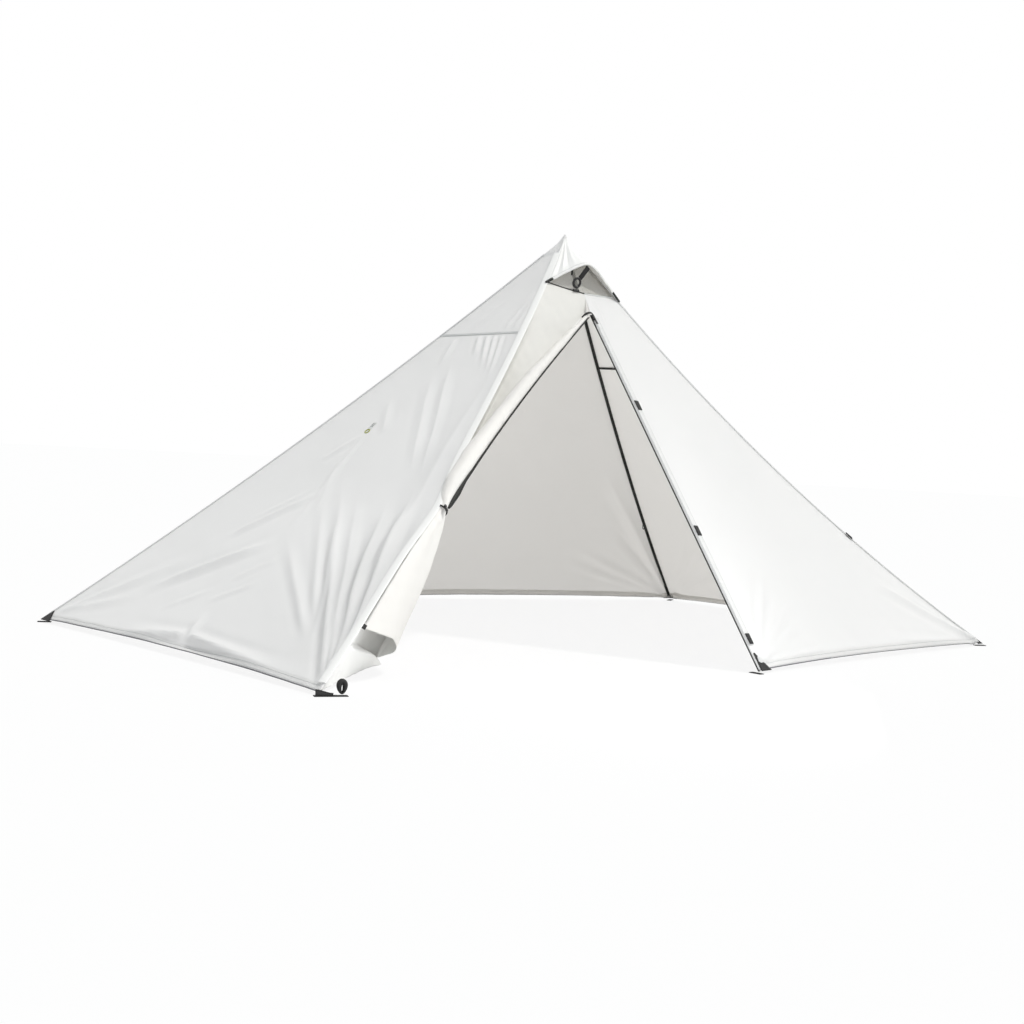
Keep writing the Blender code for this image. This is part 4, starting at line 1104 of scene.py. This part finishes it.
FLAP_TOP = DOOR_TOP_SHARE + 0.0013
FLAP_FOOT = CORNERS["front_left"] + np.array([0.44, 0.33, 0.003])
TIE_WAY = np.array([0.70651, -0.46851, -0.53042])
TIE_OUT = np.array([-0.09677, -0.80641, 0.58339])
HEAD_ROWS = 24
ROLL_ROWS = 130
FAN_ROWS = 120
DOOR_COLUMNS = 168
SHEET_COLUMNS = 70


def left_lip(place):
    """Share of the vent's lip across the door's side."""
    return LIP_SHARE_MIDDLE + (LIP_SHARE_SIDE - LIP_SHARE_MIDDLE) * (1.0 - place)


def door_edge(share):
    """The drawn-back edge, from the door's top to the tie and down to the foot."""
    share = np.asarray(share, float)[..., None]
    tied = ridge("front_left", TIE_SHARE) + TIE_WAY * TIE_WIDTH
    head = ridge("front_centre", FLAP_TOP) - HEM_WAY * 0.006
    amount = np.clip((share - FLAP_TOP) / (TIE_SHARE - FLAP_TOP), 0.0, 1.0)
    upper = head + (tied - head) * amount - HEM_WAY * np.sin(amount * math.pi) * 0.014
    amount = np.clip((share - TIE_SHARE) / (SIDE_BOTTOM - TIE_SHARE), 0.0, 1.0)
    lower = tied + (FLAP_FOOT - tied) * amount + HEM_WAY * np.sin(amount * math.pi) * 0.016
    return np.where(share < TIE_SHARE, upper, lower)


def door_frame(share):
    """Start on the ridge, way across, outward way and width of the door's cloth at each share."""
    start = ridge("front_left", share) + HEM_WAY * 0.0035
    start[..., 2] = np.maximum(start[..., 2], 0.0060)
    end = door_edge(share)
    down = unit(ridge("front_left", share + 0.002) - ridge("front_left", share - 0.002))
    width = lengths(end - start)
    run = unit(end - start)
    out = unit(np.cross(run, down))
    out = out * -np.sign(out[..., 1:2])
    return start, run, out, width


def roll_sizes(amount, width):
    """Roll's radius, how far its middle stands out, and the depth of the valley beside it."""
    radius = np.interp(amount, (0.0, 0.10, 0.35, 0.75, 0.92, 1.0),
                       (0.006, 0.017, 0.031, 0.034, 0.026, 0.0155))
    radius = np.minimum(radius, 0.72 * width)
    stand = np.interp(amount, (0.0, 0.12, 0.45, 0.85, 1.0), (0.0, 0.006, 0.016, 0.006, -0.010))
    depth = np.interp(amount, (0.0, 0.12, 0.40, 0.80, 1.0), (0.004, 0.022, 0.046, 0.036, 0.014))
    return radius, stand, np.minimum(depth, 0.6 * width)


def rolled_rows():
    """Rows between the door's top and the tie: a valley by the ridge, then a roll in front."""
    share = even(ROLL_ROWS, FLAP_TOP, TIE_SHARE)
    start, run, out, width = door_frame(share)
    rows = np.zeros((ROLL_ROWS, DOOR_COLUMNS, 3))
    for i in range(ROLL_ROWS):
        amount = i / (ROLL_ROWS - 1)
        radius, stand, depth = roll_sizes(amount, width[i])
        middle = width[i] - radius - 0.004
        first = math.radians(-100.0)
        join = (middle + radius * math.cos(first), stand + radius * math.sin(first))
        dip = min(0.012 + 0.05 * width[i], 0.5 * join[0] if join[0] > 0.004 else 0.002)
        knots = np.array([0.0, 0.06, 0.20, 0.60, 1.0])
        along = np.interp(even(SHEET_COLUMNS), knots,
                          (0.0, dip * 0.40, dip, dip + 0.52 * (join[0] - dip), join[0]))
        deep = np.interp(even(SHEET_COLUMNS), knots,
                         (0.0, -depth * 0.80, -depth * 1.05, -depth + 0.60 * (join[1] + depth), join[1]))
        angle = np.radians(even(DOOR_COLUMNS - SHEET_COLUMNS + 1, -100.0, 1180.0)[1:])
        shrink = np.interp(np.degrees(angle), (-100.0, 150.0, 250.0, 1180.0), (1.0, 1.0, 0.90, 0.58))
        along = np.concatenate([along, middle + radius * shrink * np.cos(angle)])
        deep = np.concatenate([deep, stand + radius * shrink * np.sin(angle)])
        for line in (along, deep):
            soften(line, 1, DOOR_COLUMNS - 1, 5)
        rows[i] = start[i] + run[i] * along[:, None] + out[i] * deep[:, None]
    return rows


def fanned_rows():
    """Rows below the tie: a layer on the ridge, and one turned back in front of it as an arc."""
    column = even(DOOR_COLUMNS)[None, :]
    fall = even(FAN_ROWS)[:, None]
    first, second = 0.40, 0.66
    behind = np.clip(column / first, 0.0, 1.0)
    front = np.clip((second - column) / (second - first), 0.0, 1.0)
    hidden = np.clip((column - second) / (1.0 - second), 0.0, 1.0)
    # Four more layers lie folded between the two that show, as the whole half is 1.5 m wide
    under = np.interp(hidden, (0.0, 0.25, 0.50, 0.75, 1.0), (0.0, 1.0, 0.10, 0.96, 0.06))
    on_back = column <= first
    on_front = (column > first) & (column <= second)
    reach = np.where(on_back, behind, np.where(on_front, front, 0.82 * under))
    low = np.where(on_back, np.interp(behind, (0.0, 0.55, 0.88, 0.95, 1.0),
                                      (1.0, 1.0, 0.998, 0.984, 0.955)),
                   np.where(on_front, np.interp(front, (0.0, 0.35, 0.72, 0.92, 1.0),
                                                (0.680, 0.755, 0.885, 0.942, 0.955)),
                            0.640 + 0.12 * under))
    amount = fall * low
    share = TIE_SHARE + amount * (SIDE_BOTTOM - TIE_SHARE)
    start, run, out, width = door_frame(share)
    along = width * np.sin(reach * math.pi / 2.0)
    along = along - np.where(on_front, 0.030 * amount * reach ** 2, 0.0)
    sag = 0.013 + 0.040 * amount
    bulge = 0.007 + 0.026 * amount
    arch = np.sin(reach * math.pi)
    # Below a slanting edge the back layer turns forwards as a lobe that lies on the ground
    lobe = ease((amount - 0.765 - 0.215 * behind) / 0.022) * np.sin(np.clip(reach, 0.0, 1.0) * 2.6)
    slant = 0.060 * amount ** 1.3 * arch * (1.0 - reach)
    bends = 0.006 * np.sin(reach * 9.0 + 1.0) * ease(amount / 0.15) * arch
    deep = np.where(on_back, -sag * arch + 0.048 * lobe, np.where(
        on_front, bulge * arch + 0.0035 + slant + bends,
        ((0.70 - 1.30 * hidden) * bulge) * arch - 0.001 + 0.7 * slant * (1.0 - hidden)))
    deep = deep - 0.020 * ease((amount - 0.35) / 0.50) * ease((reach - 0.30) / 0.60)
    return start + run * along[..., None] + out * deep[..., None]


def door_cloth():
    """Head, roll and fan joined in one cloth, with the door's own small creases."""
    place = np.concatenate([even(SHEET_COLUMNS, 0.0, 0.975),
                            even(DOOR_COLUMNS - SHEET_COLUMNS + 1, 0.975, 1.0)[1:]])
    lip = left_lip(place)
    down = even(HEAD_ROWS)[:, None]
    head = cloth_at("front_left", "front_centre", lip + (DOOR_TOP_SHARE - lip) * down,
                    np.broadcast_to(place, (HEAD_ROWS, DOOR_COLUMNS)))
    rolled = rolled_rows()
    # The head leans into the valley below it
    head = head + (rolled[0] - head[-1]) * ease((down - 0.25) / 0.75)[..., None]
    points = np.concatenate([head[:-1], rolled, fanned_rows()[1:]], axis=0)
    middle = HEAD_ROWS + ROLL_ROWS - 2
    soften(points, middle - 9, middle + 11, 70)
    soften(points, HEAD_ROWS - 8, HEAD_ROWS + 8, 30)
    waves = 0.0010 * ripples(points, 0.14, 51) + 0.0008 * ripples(points, 0.05, 52)
    rows = np.arange(len(points))[:, None]
    quiet = ease(rows / 8.0) * ease(np.abs(rows - middle) / 16.0)
    points = raised(points, waves * quiet)
    points[..., 2] = np.maximum(points[..., 2], 0.0040)
    obj = cloth("door_cloth", points, CLOTH_DOOR, CLOTH_IN, thickness=0.0008)
    for skin in (CLOTH_OPAQUE_PAINTED_BRIGHT, CLOTH_IN):
        obj.data.materials.append(skin)
    row, column = np.divmod(np.arange(len(obj.data.polygons)), DOOR_COLUMNS - 1)
    # Faces of the roll and fan take the brighter cloth: they are doubled layers, and part of their
    # brightness is painted sunlight
    folded = (row >= middle) | ((row >= HEAD_ROWS) & (column >= SHEET_COLUMNS - 6))
    obj.data.polygons.foreach_set("material_index", np.where(folded, 2, 0).tolist())
    settle(obj, BODY, "cloth_bright", "door_head", "door_flap")
    return obj, points


def door_tapes(points):
    """The drawn-back edge's dark zip tape beside the roll, and the webs at the door's ends."""
    amount = even(130, 0.012, 0.985)
    start, run, out, width = door_frame(FLAP_TOP + (TIE_SHARE - FLAP_TOP) * amount)
    radius, stand, _ = roll_sizes(amount, width)
    wide = np.interp(amount, (0.0, 0.70, 0.88, 0.93, 0.975, 1.0),
                     (0.006, 0.007, 0.010, 0.016, 0.015, 0.008))
    angle = math.radians(22.0)
    rim = (start + run * (width - radius - 0.004 + radius * math.cos(angle) * 0.99)[:, None]
           + out * (stand + radius * math.sin(angle) * 0.99)[:, None])
    way = unit(run + out * 0.10)
    strip = rim[:, None] + way[:, None] * wide[:, None, None] * even(6)[None, :, None]
    tape = cloth("door_zip_tape", strip, BLACK_TAPE, BLACK_TAPE, thickness=TAPE_WALL)
    settle(tape, BODY, "tape_grey", "zip_edge_left")
    teeth = stitch("door_zip_coil", [strip[:, 4] + out * 0.0008], COIL, *COIL_SIZES)
    line = points[HEAD_ROWS + ROLL_ROWS + 30:-22, int(0.445 * DOOR_COLUMNS)]
    edge = band("door_edge_tape", line, out[-1], 0.0050, 0.0022, BLACK_TAPE, "tape_grey")
    # Short black web over the end of the roll, where both zip edges meet
    path = smooth_path([DOOR_TOP + ZIP_OUT * a - HEM_WAY * b - UP * c for a, b, c in (
        (0.006, -0.006, 0.004), (0.010, 0.010, -0.003), (0.012, 0.030, 0.002),
        (0.010, 0.046, 0.016))], 30)
    top_web = band("door_top_web", path, ZIP_OUT, 0.0075, 0.0022, WEBBING, "webbing_black")
    # Web at the fan's corner, on the ridge
    rise = unit(ridge("front_left", 0.86) - ridge("front_left", 0.88))
    path = (points[-1, int(0.655 * DOOR_COLUMNS)] + rise * even(12, -0.004, 0.012)[:, None]
            + out[-1] * 0.003)
    web = band("door_corner_web", path, out[-1], 0.014, 0.0020, WEBBING, "webbing_black")
    return [tape, teeth, edge, web, top_web]


# Vent hood

HOOD_LEFT = ridge("front_left", 0.126)
HOOD_RIGHT = ridge("front_right", 0.132)
BRIM_MIDDLE = ridge("front_centre", 1.0 - 1.276 / PEAK_HEIGHT) + np.array([0.0, -0.068, 0.0])
BRIM_CORNER = 0.16
BRIM_RADIUS = 0.0044
LIP_RADIUS = 0.0019
NET_WALL = 0.0004
PROP_AXIS = np.array([0.83431, 0.11751, -0.53862])
PROP_FACE = np.array([0.00514, 0.97532, 0.22075])
PROP_PLACE = 0.80


def hood_points(down, across):
    """Smooth hood from the tip to its brim, which comes to a soft corner over the zip."""
    side = (2.0 * across - 1.0)[..., None]
    rounded = np.sqrt(side * side + BRIM_CORNER ** 2) - BRIM_CORNER
    rounded = rounded / (math.sqrt(1.0 + BRIM_CORNER ** 2) - BRIM_CORNER)
    brim = (BRIM_MIDDLE + ((HOOD_LEFT + HOOD_RIGHT) / 2.0 - BRIM_MIDDLE) * rounded
            + (HOOD_RIGHT - HOOD_LEFT) / 2.0 * side)
    # The cloth hangs close to the net below the tip, then flares out to the brim
    loose = 1.0 - np.abs(2.0 * across - 1.0) ** 1.6
    out = down + (0.548 * down + 0.02 + 0.432 * down ** 3 - down) * loose
    points = APEX + (brim - APEX) * (0.05 + 0.95 * np.stack([out, out, down], axis=-1))
    foot = unit((HOOD_RIGHT - APEX) * FLAT)
    pull = neck(0.132 * (0.05 + 0.95 * down)) * np.clip(2.0 * across - 1.0, 0.0, 1.0)
    return points - foot * pull[..., None]


def hood():
    """Hood over the vent: taut between its feet, small pleats running up to the tip."""
    down, across = np.meshgrid(even(70), even(110), indexing="ij")
    points = hood_points(down, across)
    # The cut is nearly a triangle on the brim, so its height follows from its area
    brim, _, area = flat_measure(points)
    flat = (brim, 2.0 * area / brim, area)
    pleats = sum(tall * np.exp(-((across - at) / wide) ** 2) for at, wide, tall in (
        (0.06, 0.018, 0.0044), (0.12, 0.020, -0.0040), (0.19, 0.024, 0.0050), (0.27, 0.026, -0.0032),
        (0.36, 0.030, 0.0024), (0.62, 0.030, 0.0018), (0.74, 0.030, -0.0014)))
    height = pleats * ease(down * 1.6) * (1.0 - 0.8 * ease((down - 0.72) / 0.28))
    height = height + 0.0008 * ripples(points, 0.06, 61)
    points = raised(points, height * ease(down * 4.0) + 0.0044)
    # The hood's outer face is the brighter cloth, its extra brightness painted sunlight
    obj = cloth("hood_cloth", points, CLOTH_OPAQUE_PAINTED_BRIGHT, CLOTH_IN, thickness=0.0010)
    settle(obj, BODY, "cloth_bright", "vent_hood")
    edge = points[-1]
    slope = unit(edge - points[-4])
    line = edge + slope * 0.0020
    side, out = path_frames(line, np.broadcast_to(unit(np.array([0.0, -1.0, 0.35])), edge.shape))
    made = []
    # The brim's middle is the brighter cloth, partly painted light; its ends are black tape
    for name, low, high, skin in (
            ("brim_left", 0, 10, BLACK_TAPE), ("brim_middle", 9, 97, CLOTH_OPAQUE_PAINTED_BRIGHT),
            ("brim_right", 96, 110, BLACK_TAPE)):
        piece = sweep(name, line[low:high], round_profile(BRIM_RADIUS, 12, 0.75), skin,
                      (side[low:high], out[low:high]))
        made.append(settle(piece, BODY, "tape_grey", "vent_brim"))
    normal = grid_normals(points)[-1]
    made.append(stitch("brim_stitches", [edge - slope * 0.010 + normal * 0.0006], THREAD, 0.004))
    path = hood_points(np.array([1.0]), np.array([0.30]))[0] - UP * even(14, 0.0, 0.018)[:, None]
    made.append(band("hood_keeper", path, PROP_FACE, 0.008, 0.0020, WEBBING, "webbing_black"))
    return obj, flat, made


def nets():
    """Two pieces of net behind the hood, the bindings of the lip, and its hook for the prop."""
    made = []
    pairs = (("front_left", "front_centre"), ("front_centre", "front_right"))
    place = even(24)[None, :]
    for side, pair, first, last in (("left", pairs[0], LIP_SHARE_SIDE, LIP_SHARE_MIDDLE),
                                    ("right", pairs[1], LIP_SHARE_MIDDLE, LIP_SHARE_SIDE)):
        low = first + (last - first) * place - 0.001
        points = cloth_at(*pair, 0.043 + (low - 0.043) * even(24)[:, None], place)
        flat = square_measure(points)
        net = cloth("net_" + side, raised(points, -0.0012), NET, NET, thickness=NET_WALL)
        made.append((settle(net, BODY, "net_grey", "vent_net_" + side), flat))
    place = even(40, 0.03, 1.0)
    share = left_lip(place)
    normal = unit(np.array([0.0, -0.8, 0.58]))
    for name, line, skin in (
            ("lip_left", cloth_at(*pairs[0], share, place), BLACK_TAPE),
            ("lip_right", cloth_at(*pairs[1], share[::-1], 1.0 - place[::-1]), SEAM_CLOTH)):
        bound = sweep(name, line + normal * 0.0006, round_profile(LIP_RADIUS, 10), skin,
                      path_frames(line, normal))
        settle(bound, BODY, "tape_grey")
    hook = cloth_at(*pairs[0], left_lip(PROP_PLACE), PROP_PLACE)
    path = hook + HEM_WAY * even(14, -0.012, 0.012)[:, None] + TIE_OUT * 0.0042
    band("lip_hook", path, TIE_OUT, 0.011, 0.0030, WEBBING, "webbing_black")
    return made


# Guy-out points, tie and loops

GUY_WAYS = (np.array([0.03896, -0.99916, 0.01307]), np.array([-0.68057, -0.01696, 0.73249]))
GUY_DOWN = np.array([-0.73165, -0.03743, -0.68065])
GUY_TAB_WIDTH = 0.016
GUY_TAB_LENGTH = 0.032
GUY_TAB_THICKNESS = 0.0014


def guy_points():
    """Webbing tabs on the left side, with its green loop, and on the front right ridge."""
    points, _ = outward_at("front_right", even(5, 0.68, 0.70))
    down = unit(points[-1] - points[0])
    corner = np.array([1.0, -1.0, 0.0])
    facing = unit(corner - down * (corner @ down))
    for side, (x_axis, z_axis), down, skin in (
            ("left", GUY_WAYS, GUY_DOWN, SEAM_CLOTH),
            ("right", (np.cross(down, facing), facing), down, WEBBING)):
        centre = middle_of("guy_tab_" + side)
        path = centre + down * even(20, -GUY_TAB_LENGTH / 2.0, GUY_TAB_LENGTH / 2.0)[:, None]
        band("guy_web_" + side, path, z_axis, GUY_TAB_WIDTH, GUY_TAB_THICKNESS, skin,
             "webbing_black", "guy_tab_" + side)
        boxed_stitches("guy_web_%s_stitches" % side, centre + z_axis * 0.0010, x_axis, down,
                       (-0.005, -0.012), (0.005, 0.004), 0.003, 0.002, 0.0007)
    ring_piece("guy_cord_loop", "guy_loop_left", GUY_WAYS, GUY_RING, CORD_GREEN, "guy_loop",
               "cord_green")


TIE_ROUTE = (
    (0.0010, 0.0064), (0.0060, 0.0085), (0.0150, 0.0085), (0.0225, 0.0070), (0.0288, -0.0010),
    (0.0305, -0.0140), (0.0262, -0.0285), (0.0150, -0.0318), (0.0040, -0.0275), (-0.0010, -0.0150),
)
CORD_RADIUS = 0.0026
TOGGLE_LENGTH = 0.022
TOGGLE_RADIUS = 0.004


def tie():
    """Elastic cord round the drawn-back door and its barrel toggle."""
    start = ridge("front_left", TIE_SHARE)
    path = smooth_path([start + TIE_WAY * x + TIE_OUT * z for x, z in TIE_ROUTE], 90)
    cord = sweep("tie_loop", path, round_profile(CORD_RADIUS, 10), CORD_BLACK,
                 path_frames(path, np.array([0.0, 0.6, 0.8])))
    settle(cord, BODY, "webbing_black", "tie_cord")
    along = even(23, -TOGGLE_LENGTH / 2.0, TOGGLE_LENGTH / 2.0)
    # Barrel with a waist and rounded ends
    radius = TOGGLE_RADIUS * np.array([
        0.62 if abs(s) > 0.0105 else 0.88 if abs(s) > 0.0095 else 0.78 if abs(s) < 0.0025 else 1.0
        for s in along])
    path = middle_of("tie_toggle") + unit(TIE_OUT * TIE_OUT[2] - UP) * along[:, None]
    side, up = path_frames(path, TIE_OUT)
    cosine, sine = circle(20)
    ring = side[:, None] * cosine[None, :, None] + up[:, None] * sine[None, :, None]
    mesh = grid_mesh("toggle_barrel", path[:, None] + ring * radius[:, None, None], loop=True)
    repair(mesh, fill=True)
    settle(new_object("toggle_barrel", mesh, ACETAL), "tie_toggle", "plastic_black", "tie_toggle")


def inner_loop():
    """Small loop on the ridge inside, at the back right."""
    ways = (np.array([0.70683, 0.37698, -0.59857]), np.array([0.47059, -0.88235, 0.0]))
    ring_piece("hang_loop", "inner_loop", ways, INNER_RING, CORD_BLACK, "inner_loop",
               "webbing_black")


# Floor, light and background

def seen_by(tree, *kinds):
    """1 for camera rays and for rays of some other kinds, 0 for the rest."""
    rays = add(tree, "ShaderNodeLightPath").outputs
    seen = rays["Is Camera Ray"]
    for kind in kinds:
        seen = add(tree, "ShaderNodeMath", {
            0: seen, 1: rays["Is %s Ray" % kind]}, operation="MAXIMUM").outputs[0]
    return seen


def lamp(name, kind, energy, place, way, facing, **settings):
    """Lamp at a place, with the given axis turned one way."""
    data = bpy.data.lights.new(name, kind)
    data.energy = energy
    for key, value in settings.items():
        setattr(data, key, value)
    obj = bpy.data.objects.new(name, data)
    bpy.context.scene.collection.objects.link(obj)
    obj.location = place
    obj.rotation_euler = way.to_track_quat(facing, "Y").to_euler()


def stage():
    """White floor that keeps a soft shadow, a white backdrop, a sun, a pale sky and a fill."""
    bpy.ops.mesh.primitive_circle_add(vertices=64, radius=40.0, fill_type="NGON")
    floor = bpy.context.object
    floor.name = "floor"
    material, tree, shader, _, _ = new_material("white_floor")
    for key, value in (("Base Color", (0.82, 0.82, 0.82, 1.0)), ("Roughness", 0.9),
                       ("Specular IOR Level", 0.0)):
        shader.inputs[key].default_value = value
    white = add(tree, "ShaderNodeEmission", {"Strength": 1.0})
    share = add(tree, "ShaderNodeMath", {0: seen_by(tree, "Transmission"), 1: 0.86},
                operation="MULTIPLY")
    ground = add(tree, "ShaderNodeMixShader", {
        0: share.outputs[0], 1: shader.outputs[0], 2: white.outputs[0]})
    tree.links.new(ground.outputs[0], tree.nodes["Material Output"].inputs["Surface"])
    floor.data.materials.append(material)

    world = bpy.data.worlds.new("pale_sky")
    bpy.context.scene.world = world
    world.use_nodes = True
    tree = world.node_tree
    sky = tree.nodes["Background"]
    sky.inputs["Color"].default_value = (0.93, 0.97, 1.0, 1.0)
    sky.inputs["Strength"].default_value = 0.58
    clear = add(tree, "ShaderNodeBackground", {"Color": (1.0, 1.0, 1.0, 1.0), "Strength": 1.0})
    around = add(tree, "ShaderNodeMixShader", {
        0: seen_by(tree, "Glossy", "Transmission"), 1: sky.outputs[0], 2: clear.outputs[0]})
    tree.links.new(around.outputs[0], tree.nodes["World Output"].inputs["Surface"])

    lamp("sun", "SUN", 2.02, (0.0, 0.0, 0.0), Vector((0.30, -0.33, 0.89)), "Z",
         angle=math.radians(5.0), color=(1.0, 0.98, 0.95))
    # Soft fill at the doorway, as from a pale board: it faces the drawn-back door's folds
    place = Vector((-0.35, -1.75, 0.35))
    lamp("doorway_fill", "AREA", 4.5, place, Vector((-1.15, -0.75, 0.22)) - place, "-Z",
         shape="RECTANGLE", size=0.7, size_y=0.5)
    bpy.context.scene.view_settings.view_transform = "Standard"


# Making

place_camera()
stage()

left_upper, left_lower, left_points = side_in_two(
    "left", ("back_left", "front_left"), LEFT_SEAM_SHARE, ((60, 90), (176, 240)),
    (LEFT_UPPER_FOLDS, LEFT_FOLDS), 3, "cloth_outer", 0.7, hem_fold)
front_half, front_points = right_front()
right_upper, right_lower, right_points = side_in_two(
    "right", ("front_right", "back_right"), RIGHT_SEAM_SHARE, ((40, 80), (110, 150)),
    ((), RIGHT_FOLDS), 21, "cloth_bright", 1.0)
back_right, back_right_points = back_side("back_right_side", "panel_back_right", "back_right",
                                          "back_centre", BACK_RIGHT_FOLDS, 23)
back_left, back_left_points = back_side("back_left_side", "panel_back_left", "back_centre",
                                        "back_left", BACK_LEFT_FOLDS, 25)
tip = peak_tip()
door, door_points = door_cloth()
door_extras = door_tapes(door_points)
hood_cloth, hood_flat, hood_extras = hood()
net_sheets = nets()
strip_cloth, strip_flat, zip_extras = zip_pieces()

for ridge_name in SAGS:
    ridge_seam(ridge_name)
left_trim = hem("left_hem", "hem_left", left_points) + side_seam("left_seam", left_points, False)
front_trim = hem("front_hem", "hem_front_right", front_points, 0.003)
right_trim = hem("right_hem", "hem_right", right_points) + side_seam("right_seam", right_points)
back_right_trim = hem("back_right_hem", "hem_back_right", back_right_points)
back_left_trim = hem("back_left_hem", "hem_back_left", back_left_points)
for corner_name, (on_left, on_right) in BESIDE.items():
    corner_patch(corner_name, on_left, on_right)
for corner_name in CORNERS:
    stake_tab(corner_name)
door_foot_patch()
stake_loop()
blocks()
guy_points()
tie()
inner_loop()
